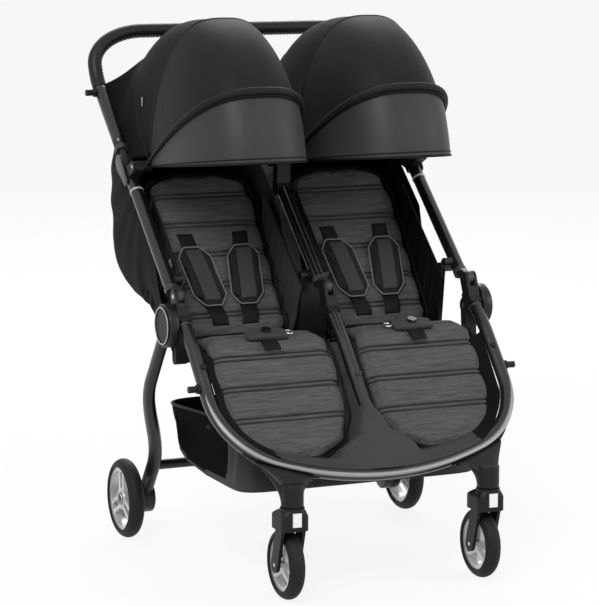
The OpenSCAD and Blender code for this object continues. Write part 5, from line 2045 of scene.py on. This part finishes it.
@dataclass
class Canopies:
    """Two canopies: a rear panel, a middle panel, a visor and a padded bow, all on one pivot."""

    half_w: float = 152.0
    radius: float = 320.0
    step: float = 7.0
    side_step: float = 4.0
    cad_t: float = 3.0
    wall: float = 1.4
    power: float = 2.8
    hole_r: float = 26.0
    eye_r: float = 12.0
    rib_low: float = 9.0
    angles: tuple[float, ...] = (48.0, 105.0, 149.0, 174.6)
    lap: float = 2.0
    sags: tuple[float, ...] = (8.0, 2.0, 2.2)
    pull: float = 0.9
    pull_share: float = 0.6
    pull_waves: float = 26.0
    uneven: float = 0.25
    uneven_w: float = 70.0
    bow_r: float = 340.2
    bow_roll: float = 7.0
    bow_edge: float = 2.6
    bow_fill: float = 0.8
    bow_in: float = 1.6
    bow_turn: float = 0.5
    bow_flat: float = 1.15
    cord_in: float = 2.6
    cord_drop: float = 4.0
    cord_turn: float = 1.25
    bindings: Table = ((0.0, 2.5), (1.7, 1.3))
    rib_r: float = 2.1
    hem_r: float = 1.6
    cord_r: float = 2.3
    spare: float = 1.01
    gusset_s: Flat = (20.0, 246.0)
    gusset_x: float = 322.2
    gusset_off: float = -15.5
    gusset_top: float = 0.40
    gusset_slack: Flat = (4.0, 3.0)
    gusset_ease: float = 1.25
    gusset_spare: float = 1.1
    clip_at: Flat = (150.0, 63.0)
    clip_in: float = 6.2
    clip_size: tuple[float, float, float] = (1.6, 4.5, 20.0)
    clip_ease: float = 0.5
    across: int = 110
    along: int = 44

    def half(self, panel: Panel) -> float:
        """Half width of a panel's sheet."""
        return self.half_w - (3 - panel.value) * self.side_step - self.cad_t / 2

    def reach(self, panel: Panel) -> float:
        """Radius of a panel's sheet."""
        return self.radius + panel.value * self.step - self.cad_t / 2

    def arc(self, half: float, r: float, low: float, share: float) -> Flat:
        """A point of a canopy's outline: its radius, and its distance across from the seat's middle."""
        return hood_arc(half, r, low, self.power, share)

    def span(self, panel: Panel) -> Flat:
        """Angles at which a panel starts and ends."""
        start = self.angles[panel.value] - (self.lap if panel.value else 0.0)
        return start, self.angles[panel.value + 1]

    def cloth(self, side: Side, panel: Panel) -> tuple[BMesh, float]:
        """A panel's sheet, sagging a little between its ribs.

        Args:
            side: Which seat.
            panel: Which panel.

        Returns:
            The sheet and the length of its outline, in metres.
        """
        start, end = self.span(panel)
        half, reach, sag = self.half(panel), self.reach(panel), self.sags[panel.value]

        def place(u: float, v: float) -> Vector:
            r, x = self.arc(half, reach, self.hole_r, u)
            angle = between(start, end, v)
            slack = math.sin(math.pi * v) ** 0.75
            near = max(0.0, 1 - r / (self.pull_share * reach))
            pull = self.pull * near * math.sin(math.radians(angle) * self.pull_waves) * slack
            seed = 11.0 + 5 * side.value + panel.value
            uneven = self.uneven * fold_noise(Vector((x, angle * 3, r)), self.uneven_w, seed)
            draw = sag * slack * (1 + uneven) / reach
            x -= math.copysign(pull, x)
            return hood_point(side, r * (1 - draw), x * (1 - draw), angle)

        line = [self.arc(half, reach, self.hole_r, k / 200) for k in range(201)]
        girth = sum(math.dist(p, q) for p, q in zip(line, line[1:]))
        return Maker.outward(Maker.sheet(self.across, self.along, place)), girth * MM

    def rib(self, side: Side, half: float, r: float, angle: float, low: float,
            radius: Size, flat: float = 1.0) -> BMesh:
        """A roll of cloth or a hem along a canopy's outline at one angle.

        Args:
            side: Which seat.
            half: Half width of its line.
            r: Radius of its line at the crown.
            angle: Angle about the pivot.
            low: Radius at which it ends.
            radius: Its own radius.
            flat: Its size about the pivot as a share of its size outwards.

        Returns:
            The roll.
        """
        a = math.radians(angle)
        line = [hood_point(side, *self.arc(half, r, low, k / 120), angle) for k in range(121)]
        return Maker.tube(line, radius, sides=12, flat=flat, up=Vector((0, -math.sin(a), math.cos(a))))

    def eyes(self, side: Side, half: float, thick: float) -> list[BMesh]:
        """The two round eyes by which a panel hangs on the pivot."""
        return [Maker.disc(hood_point(side, 0.0, x, 0.0), ACROSS, self.eye_r, thick, 0.6, 36)
                for x in (-half, half)]

    def panel(self, side: Side, panel: Panel, finish: Finish, body: str, node: str) -> None:
        """Makes one panel with its hems and eyes.

        Args:
            side: Which seat.
            panel: Which panel.
            finish: Its cloth.
            body: The body that carries it.
            node: The solid that it stands for.
        """
        tail = f"{panel.name.lower()}_{side.word}"
        half, reach = self.half(panel), self.reach(panel)
        start, end = self.span(panel)
        rib_at = start if panel is Panel.REAR else end
        rib = self.rib(side, half, reach - 0.6, rib_at, self.rib_low, self.rib_r)
        held = Maker.join([rib] + self.eyes(side, half, self.cad_t))
        Maker.piece(f"canopy_rib_{tail}", held, PIPING, body)
        bm, girth = self.cloth(side, panel)
        Maker.cloth((f"canopy_cloth_{tail}", bm, finish, body, self.wall), (girth, self.spare), "stretched",
                    [f"canopy_rib_{tail}"], node, math.radians(end - start) * reach * MM)
        if panel is not Panel.REAR:
            hem = self.rib(side, half + 0.3, reach + 0.4, start, self.hole_r, self.hem_r)
            Maker.piece(f"canopy_hem_{tail}", hem, finish, body)

    def bow(self, side: Side) -> None:
        """Makes the padded bow: a thick roll with a thin one before it, and the visor's bound edge.

        Args:
            side: Which seat.
        """
        body = f"hood_front_{side.word}"
        at = self.angles[2]

        def thick(share: float) -> float:
            high = math.sin(math.pi * share) ** 0.55 if 0 < share < 1 else 0.0
            return between(self.bow_edge, self.bow_roll, high)

        roll = self.rib(side, self.half_w - self.bow_in, self.bow_r, at - self.bow_turn, self.rib_low, thick,
                        self.bow_flat)
        piece = Maker.piece(f"canopy_roll_{side.word}", roll, HOOD_GREY, body)
        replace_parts(piece, f"canopy_bow_{side.word}")
        thin = self.rib(side, self.half_w - self.cord_in, self.bow_r - self.cord_drop, at + self.cord_turn,
                        self.rib_low, self.cord_r)
        eyes = self.eyes(side, self.half_w - 1.9, self.side_step - 0.6)
        Maker.piece(f"canopy_cord_{side.word}", Maker.join([thin] + eyes), PIPING, body)
        half, reach, end = self.half(Panel.VISOR), self.reach(Panel.VISOR), self.angles[3]
        for number, (back, r) in enumerate(self.bindings, 1):
            edge = self.rib(side, half + 0.5, reach + 0.6, end - back, self.hole_r, r)
            Maker.piece(f"visor_binding_{side.word}_{number}", edge, PIPING, body)

    def gusset(self, side: Side) -> None:
        """Makes the cloth between a canopy's rear rib and the handle's side tube.

        Args:
            side: Which seat.
        """
        half, reach = self.half(Panel.REAR), self.reach(Panel.REAR)
        low, high = self.gusset_s

        def place(u: float, v: float) -> Vector:
            v *= 1 - 0.05 * math.sin(math.pi * u)
            r, x = self.arc(half, reach, self.hole_r, 1 - self.gusset_top * v)
            rib = hood_point(side, r, x, self.angles[0])
            s = LINES.elbow_s + between(low, high, v)
            tube = LINES.at(side.value * self.gusset_x, *LINES.tube(s, self.gusset_off))
            point = rib.lerp(tube, u)
            slack = math.sin(math.pi * u) * math.sin(math.pi * min(1.0, 0.9 * v + 0.05))
            sag, wave = self.gusset_slack
            point.x -= side.value * MM * slack * (sag + wave * math.sin(9 * v + 2 * u))
            return point

        body = f"hood_rear_{side.word}"
        Maker.cloth((f"hood_gusset_{side.word}", Maker.sheet(40, 70, place), HOOD_BLACK, body, self.wall),
                    (self.gusset_ease * (high - low) * MM, self.gusset_spare), "stretched",
                    [f"canopy_rib_rear_{side.word}"])

    def clip(self, side: Side) -> None:
        """Makes the small bright clip on the outer side of a rear panel.

        Args:
            side: Which seat.
        """
        r, angle = self.clip_at
        middle = hood_point(side, r, self.half(Panel.REAR) - self.clip_in, angle)
        bm = Maker.block(self.clip_size, middle, self.clip_ease)
        Maker.piece(f"canopy_clip_{side.word}", bm, STEEL, f"hood_rear_{side.word}")

    def build(self) -> None:
        """Makes both canopies."""
        for side in Side:
            for panel, finish, part in ((Panel.REAR, HOOD_BLACK, "rear"), (Panel.MID, HOOD_GREY, "mid"),
                                        (Panel.VISOR, VISOR_SHEEN_CLOTH, "front")):
                node = f"canopy_{panel.name.lower()}_{side.word}"
                self.panel(side, panel, finish, f"hood_{part}_{side.word}", node)
            self.bow(side)
            self.gusset(side)
            self.clip(side)


@dataclass
class HandleGrip:
    """The handle's two side tubes and the padded grip round its bow, with a stitched seam along it."""

    corner_x: float = 122.0
    corner_up: float = 80.0
    tube_from: float = 40.0
    handle_len: float = 220.0
    rise: float = 27.0
    bend_r: float = 110.0
    top: float = 87.0
    radius: float = 15.6
    fill: float = 0.9
    end_len: float = 4.0
    end_draw: float = 1.2
    groove: float = 0.5
    tube_lap: float = 12.0
    tube_sides: int = 40
    stitch_pitch: float = 8.0
    stitch: float = 1.2
    sides: int = 32
    step: float = 1.6

    def rise_point(self, x: float, run: float) -> Vector:
        """A point in the plane above the handle's bend, from distances across and up it."""
        a = math.radians(self.rise)
        s = self.handle_len + self.bend_r * math.sin(a) + run * math.cos(a)
        off = self.bend_r * (1 - math.cos(a)) + run * math.sin(a)
        return LINES.at(x, *LINES.tube(LINES.elbow_s + s, off))

    def line(self) -> list[Vector]:
        """The grip's middle line, from the left side over the bar to the right.

        Returns:
            Points at an even step.
        """
        a = math.radians(self.rise)
        half: list[Vector] = []
        for k in range(25):
            turn = a * k / 24
            s = self.handle_len + self.bend_r * math.sin(turn)
            y, z = LINES.tube(LINES.elbow_s + s, self.bend_r * (1 - math.cos(turn)))
            half.append(LINES.at(LINES.tube_x, y, z))
        side, run = LINES.tube_x - self.corner_x, self.top - self.corner_up
        for k in range(61):
            turn = math.pi / 2 * k / 60
            x, up = side + self.corner_x * math.cos(turn), run + self.corner_up * math.sin(turn)
            half.append(self.rise_point(x, up))
        rough = [Vector((-p.x, p.y, p.z)) for p in half] + half[::-1]
        lengths = [0.0]
        for p, q in zip(rough, rough[1:]):
            lengths.append(lengths[-1] + (q - p).length)
        count = round(lengths[-1] / (self.step * MM))
        even, k = [], 0
        for n in range(count + 1):
            at = lengths[-1] * n / count
            while k < len(rough) - 2 and lengths[k + 1] < at:
                k += 1
            share = (at - lengths[k]) / max(1e-9, lengths[k + 1] - lengths[k])
            even.append(rough[k].lerp(rough[k + 1], share))
        return even

    def build(self) -> None:
        """Makes the grip with its seam, and the two side tubes."""
        line = self.line()
        rows = len(line) - 1
        a = math.radians(LINES.tube_slope + self.rise)
        up = Vector((0, -math.sin(a), math.cos(a)))

        def place(u: float, v: float) -> Vector:
            k = round(v * rows)
            run = (line[min(k + 1, rows)] - line[max(k - 1, 0)]).normalized()
            wide = run.cross(up).normalized()
            high = wide.cross(run)
            turn = 2 * math.pi * u
            seam = max(0.0, math.cos(turn)) ** 3
            rib = math.cos(2 * math.pi * k * self.step / self.stitch_pitch)
            end = min(1.0, min(k, rows - k) * self.step / self.end_len)
            groove = self.groove * max(0.0, math.cos(turn)) ** 60
            r = self.radius - self.end_draw * (1 - end) + seam * self.stitch * rib - groove
            return line[k] + (wide * math.cos(turn) + high * math.sin(turn)) * r * MM

        grip = Maker.piece("stitched_grip", Maker.skin(self.sides, rows, place), GRIP, "handle_frame")
        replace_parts(grip, "handle_grip")
        rails = []
        low, high = LINES.elbow_s + self.tube_from, LINES.elbow_s + self.handle_len + self.tube_lap
        for side in Side:
            x = side.value * LINES.tube_x
            points = [LINES.at(x, *LINES.tube(between(low, high, k / 8))) for k in range(9)]
            rails.append(Maker.tube(points, LINES.tube_d / 2, self.tube_sides))
        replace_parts(Maker.piece("handle_rails", Maker.join(rails), GLOSS_TUBE, "handle_frame"), "handle_tube")


@dataclass
class FrameTrim:
    """Frame parts: the loop's painted highlight strip, collars, knobs, cap rings and elbow covers."""

    band_r: float = 14.3
    band_in: float = 1.6
    band_angle: float = 54.0
    band_w: float = 5.2
    band_flat: float = 0.8
    band_start: float = 96.0
    cap_at: tuple[float, float, float] = (376.6, -18.0, 527.0)
    cap_r: float = 38.4
    cap_wire: float = 1.5
    knob_run: float = 52.0
    knob_off: float = 15.0
    knob_in: float = 4.0
    cover_s: Flat = (-4.0, -60.0)
    cover_r: Flat = (17.5, 10.0)
    cover_x: Flat = (353.8, 356.6)
    cover_ease: float = 1.1

    def band_line(self, angle: float, radius: float) -> list[Vector]:
        """A line round the loop on the surface of its tube.

        Args:
            angle: Angle from the tube's outer side towards its front, in degrees.
            radius: Distance from the tube's middle line.

        Returns:
            Points from the left side to the right.
        """
        a = math.radians(angle)
        flat = LINES.loop_line(-radius * math.cos(a), self.band_start, 60)
        return [LINES.loop(x, run, radius * math.sin(a)) for x, run in flat]

    def band(self) -> None:
        """Makes the silver strip along the loop's front, a painted highlight of its gloss tube."""
        a = math.radians(LINES.loop_slope)
        up = Vector((0, -math.sin(a), math.cos(a)))

        def taper(share: float) -> float:
            return self.band_w * min(1.0, 0.25 + 9 * min(share, 1 - share))

        line = self.band_line(self.band_angle, self.band_r - self.band_in)
        band = Maker.tube(line, taper, sides=14, flat=self.band_flat, up=up)
        Maker.piece("loop_band", band, SILVER_HIGHLIGHT_STRIP, "chassis")

    def collar(self, name: str, side: Side, s: float, size: Flat, look: tuple[Finish, str]) -> None:
        """Makes a ring round a side tube.

        Args:
            name: Name of the piece.
            side: Which side.
            s: Distance up the tube line.
            size: Its outer radius and its length.
            look: Its finish and the body that carries it.
        """
        axis = LINES.at(0, *LINES.tube(1.0)) - LINES.at(0, *LINES.tube(0.0))
        middle = LINES.at(side.value * LINES.tube_x, *LINES.tube(s))
        bm = Maker.disc(middle, axis.normalized(), *size, 1.2, 40)
        Maker.piece(f"{name}_{side.word}", bm, *look)

    def knob(self, side: Side) -> None:
        """Makes the round knob on the outer side of the loop.

        Args:
            side: Which side.
        """
        at = LINES.loop(side.value * (LINES.tube_x - self.knob_in), self.knob_run, self.knob_off)
        out = (LINES.loop(0, 0, 1) - LINES.loop(0, 0)).normalized()
        parts = [Maker.disc(at, out, 6.5, 6.0, 1.6, 32), Maker.ring(at + out * 2.2 * MM, out, 4.4, 0.6, 32)]
        Maker.piece(f"loop_knob_{side.word}", Maker.join(parts), BLACK_PLASTIC, "chassis")

    def build(self) -> None:
        """Makes all the small parts."""
        self.band()
        head, tail = (LINES.tube(LINES.elbow_s + s) for s in self.cover_s)
        drop = teardrop(head, self.cover_r[0], tail, self.cover_r[1])
        for side in Side:
            self.collar("tube_collar", side, LINES.elbow_s - 92.0, (15.2, 5.0), (PALE_RING, "upper_frame"))
            self.collar("hinge_collar", side, LINES.hinge_s - 66.0, (15.0, 4.0), (GUNMETAL, "chassis"))
            self.knob(side)
            x, y, z = self.cap_at
            ring = Maker.ring(LINES.at(side.value * x, y, z), ACROSS, self.cap_r, self.cap_wire, 72)
            Maker.piece(f"cap_ring_{side.word}", ring, PALE_RING, "rear_frame")
            plate = Maker.plate(drop, *(side.value * x for x in self.cover_x), self.cover_ease)
            Maker.piece(f"elbow_cover_{side.word}", plate, GUNMETAL, "upper_frame")


@dataclass
class RearLegs:
    """The two rear legs: a round head, a leg with a gentle double bend and a brake drum."""

    head: tuple[float, float, float] = (363.5, -18.0, 527.0)
    foot: tuple[float, float, float] = (299.0, 311.0, 88.0)
    bend: Flat = (0.30, 0.82)
    deep: float = 18.0
    thin: float = 11.0
    thick: float = 14.5
    head_r: float = 46.0
    head_t: float = 20.8
    drum_x: float = 302.0
    drum_r: float = 35.0
    drum_w: float = 38.0

    def point(self, side: Side, share: float) -> Vector:
        """A point of a leg's middle line, from its head to its foot."""
        ease = smooth_step((share - self.bend[0]) / (self.bend[1] - self.bend[0]))
        across = between(self.head[0], self.foot[0], ease)
        y, z = (between(a, b, share) for a, b in zip(self.head[1:], self.foot[1:]))
        return LINES.at(side.value * across, y, z)

    def half(self, share: float) -> float:
        """Half thickness of a leg across, as a share of its half depth."""
        return between(self.thin, self.thick, smooth_step((share - 0.2) / 0.4)) / self.deep

    def build(self) -> None:
        """Makes both legs."""
        for side in Side:
            line = [self.point(side, k / 90) for k in range(91)]
            leg = Maker.tube(line, self.deep, sides=32, flat=self.half, up=ACROSS)
            head = Maker.disc(line[0], ACROSS, self.head_r, self.head_t, 2.5, 72)
            hub = LINES.at(side.value * self.drum_x, *self.foot[1:])
            drum = Maker.disc(hub, ACROSS, self.drum_r, self.drum_w, 3.0, 64)
            whole = Maker.join([leg, head, drum])
            shell = Maker.piece(f"leg_shell_{side.word}", whole, SATIN_TUBE, "rear_frame")
            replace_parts(shell, f"rear_leg_{side.word}")


@dataclass
class Casters:
    """The brackets under the front loop with their posts, and the housings over the casters' forks."""

    x: float = 221.0
    y: float = -343.0
    post_r: float = 23.2
    post_low: float = 198.2
    post_high: float = 246.0
    reach: Flat = (146.0, 290.0)
    angles: Flat = (-170.0, 6.0)
    saddle_t: float = 4.2
    horn_half: float = 66.0
    horn_w: float = 15.0
    horn_low: float = 207.0
    horn_drop: float = 6.0
    bolt_step: int = 4
    bolt_angle: float = -22.0
    skin_ease: float = 0.8
    start: float = 96.0
    steps: int = 60
    cowl_high: float = 197.4
    cowl_low: float = 150.5
    cowl_front: float = -366.0
    cowl_rear: Flat = (-320.0, -297.0)
    cowl_half: Flat = (23.4, 29.6)

    def on_loop(self, side: Side, k: int, angle: float, radius: float) -> Vector:
        """A point on or round the loop's tube.

        Args:
            side: Which side.
            k: Step of the loop's line.
            angle: Angle from the tube's outer side towards its front, in degrees.
            radius: Distance from the tube's middle line.

        Returns:
            The point in the frame.
        """
        a = math.radians(angle)
        x, run = LINES.loop_line(-radius * math.cos(a), self.start, self.steps)[k]
        return LINES.loop(side.value * x, run, radius * math.sin(a))

    def saddle(self, side: Side, span: Sequence[int]) -> BMesh:
        """The half sleeve that clasps the loop from below.

        Args:
            side: Which side.
            span: Steps of the loop's line that it covers.

        Returns:
            The saddle.
        """
        last = len(span) - 1

        def place(u: float, v: float, w: float) -> Vector:
            k = span[round(v * last)]
            thick = self.saddle_t * (0.3 + 0.7 * smooth_step(5 * min(v, 1 - v)))
            angle = between(*self.angles, u)
            return self.on_loop(side, k, angle, LINES.tube_d / 2 + 0.2 + thick * w)

        return Maker.slab(18, last, place)

    def horn(self, side: Side, span: Sequence[int]) -> BMesh:
        """The gusset that draws in from the loop to the post.

        Args:
            side: Which side.
            span: Steps of the loop's line that the saddle covers.

        Returns:
            The gusset.
        """
        k = min(span, key=lambda n: abs(abs(self.on_loop(side, n, 0.0, 0.0).x) - self.x * MM))
        top = self.on_loop(side, k, 0.0, 0.0) - UP * self.horn_drop * MM
        foot = LINES.at(side.value * self.x, self.y, self.horn_low)
        slope = (self.on_loop(side, k + 1, 0.0, 0.0) - self.on_loop(side, k - 1, 0.0, 0.0)).normalized()
        level = Vector((slope.x, slope.y, 0)).normalized()
        wide = Vector((0, 0, 1)).cross(level)

        def place(u: float, v: float) -> Vector:
            turn = 2 * math.pi * u
            middle = top.lerp(foot, v)
            middle.y = top.lerp(foot, math.sqrt(v)).y
            along = slope.lerp(level, v).normalized()
            a = between(self.post_r, self.horn_half, (1 - v) ** 2.2)
            b = between(self.horn_w, self.post_r, smooth_step(1.6 * v))
            return middle + (along * a * math.cos(turn) + wide * b * math.sin(turn)) * MM

        bm = Maker.skin(48, 24, place)
        Maker.ease(bm, self.skin_ease)
        return bm

    def cowl(self, side: Side) -> BMesh:
        """The housing over a fork's crown, round at its top and square over the wheel.

        Args:
            side: Which side.

        Returns:
            The housing.
        """
        def place(u: float, v: float) -> Vector:
            ease = smooth_step(2.4 * v)
            power = 2 / (2 + 4.0 * ease)
            turn = 2 * math.pi * u
            across, along = (math.copysign(abs(c) ** power, c) for c in (math.cos(turn), math.sin(turn)))
            half, rear = between(*self.cowl_half, ease), between(*self.cowl_rear, ease)
            y = (rear + self.cowl_front) / 2 + (rear - self.cowl_front) / 2 * along
            z = between(self.cowl_high, self.cowl_low, v)
            return LINES.at(side.value * self.x + half * across, y, z)

        bm = Maker.skin(64, 24, place)
        Maker.ease(bm, self.skin_ease)
        return bm

    def build(self) -> None:
        """Makes both brackets and both housings."""
        line = LINES.loop_line(0.0, self.start, self.steps)
        span = [k for k, (x, _) in enumerate(line) if self.reach[0] <= x <= self.reach[1]]
        parts = []
        for side in Side:
            middle = LINES.at(side.value * self.x, self.y, (self.post_low + self.post_high) / 2)
            post = Maker.disc(middle, UP, self.post_r, self.post_high - self.post_low, 3.0, 56)
            step = span[self.bolt_step]
            bolt_at = self.on_loop(side, step, self.bolt_angle, LINES.tube_d / 2 + self.saddle_t)
            bolt = Maker.disc(bolt_at, bolt_at - self.on_loop(side, step, 0.0, 0.0), 5.0, 4.0, 1.0, 28)
            parts += [self.saddle(side, span), self.horn(side, span), post, bolt]
            Maker.piece(f"fork_cowl_{side.word}", self.cowl(side), BLACK_PLASTIC, f"caster_{side.word}")
        brackets = Maker.piece("caster_saddles", Maker.join(parts), BLACK_PLASTIC, "chassis")
        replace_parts(brackets, "caster_brackets")


@dataclass
class WheelTrim:
    """Hub caps and bright rings on both sides of the rear wheels."""

    cap_r: float = 15.0
    cap_t: float = 4.0
    boss_share: float = 0.45
    ring_share: float = 0.9
    ring_r: float = 1.1

    def hub(self, name: str, face: Vector, axis: Vector, body: str) -> None:
        """Makes a hub cap with a bright ring.

        Args:
            name: Name of the pieces.
            face: Middle of the wheel's side.
            axis: The way that it faces.
            body: The wheel's body.
        """
        cap = [Maker.disc(face, axis, self.cap_r, self.cap_t, 1.4, 40),
               Maker.disc(face + axis * 2.2 * MM, axis, self.boss_share * self.cap_r, 2.0, 0.7, 32)]
        Maker.piece(f"{name}_cap", Maker.join(cap), GLOSS_PLASTIC, body)
        ring = Maker.ring(face + axis * 1.5 * MM, axis, self.ring_share * self.cap_r, self.ring_r, 48)
        Maker.piece(f"{name}_ring", ring, STEEL, body)

    def build(self) -> None:
        """Makes the caps of both rear wheels."""
        for side in Side:
            low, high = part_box(f"rear_wheel_{side.word}")
            inner, outer = (low.x, high.x) if side is Side.RIGHT else (high.x, low.x)
            at = joint_at(f"rear_roll_{side.word}")
            for name, edge, out in (("in", inner, -side.value), ("out", outer, side.value)):
                self.hub(f"rear_hub_{name}_{side.word}", Vector((edge, at.y, at.z)), ACROSS * out,
                         f"wheel_rear_{side.word}")


DRESSED: dict[Finish, tuple[str, ...]] = {
    GLOSS_TUBE: ("front_loop", "centre_spar", "upper_tubes", "seat_cross_tube"),
    SATIN_TUBE: ("rear_cross_tube", "recline_frame"),
    BLACK_PLASTIC: ("hinge_brackets", "canopy_brackets", "frame_studs", "handle_studs", "release_housing",
                    "caster_fork_left", "caster_fork_right", "brake_pedal", "back_board_left",
                    "back_board_right", "leg_caps"),
    GUNMETAL: ("fold_knuckles", "handle_elbows", "fold_button"),
    GLOSS_PLASTIC: ("buckle_button_left", "buckle_button_right"),
    STEEL: ("frame_pins", "upper_pins", "rear_axles"),
    SILVER_RIM: ("front_wheel_left", "front_wheel_right", "rear_wheel_left", "rear_wheel_right"),
    WHITE_TAG: ("swivel_lock_left", "swivel_lock_right"),
    TYRE: ("front_tyre_left", "front_tyre_right", "rear_tyre_left", "rear_tyre_right"),
}


def dress_solids() -> None:
    """Gives every solid that stays in view its finish."""
    for finish, name in ((finish, name) for finish, names in DRESSED.items() for name in names):
        solid = frame["nodes"][name]
        solid.data.materials.clear()
        solid.data.materials.append(finish.material())
        LOG.info("%s in %s", name, finish.name)


def write_sizes() -> None:
    """Brings the scene's view layer up to date."""
    bpy.context.view_layer.update()


def main() -> None:
    """Builds the studio, dresses the solids and makes every piece."""
    logging.basicConfig(level=logging.INFO, format="%(name)s: %(message)s")
    Studio().build()
    dress_solids()
    for assembly in (SeatPads(), BackRests(), Buckles(), SeatSling(), SeatBuckets(), Basket(), Canopies(),
                     SeatBags(), HandleGrip(), FrameTrim(), RearLegs(), Casters(), WheelTrim()):
        assembly.build()
    write_sizes()


if __name__ == "__main__":
    main()
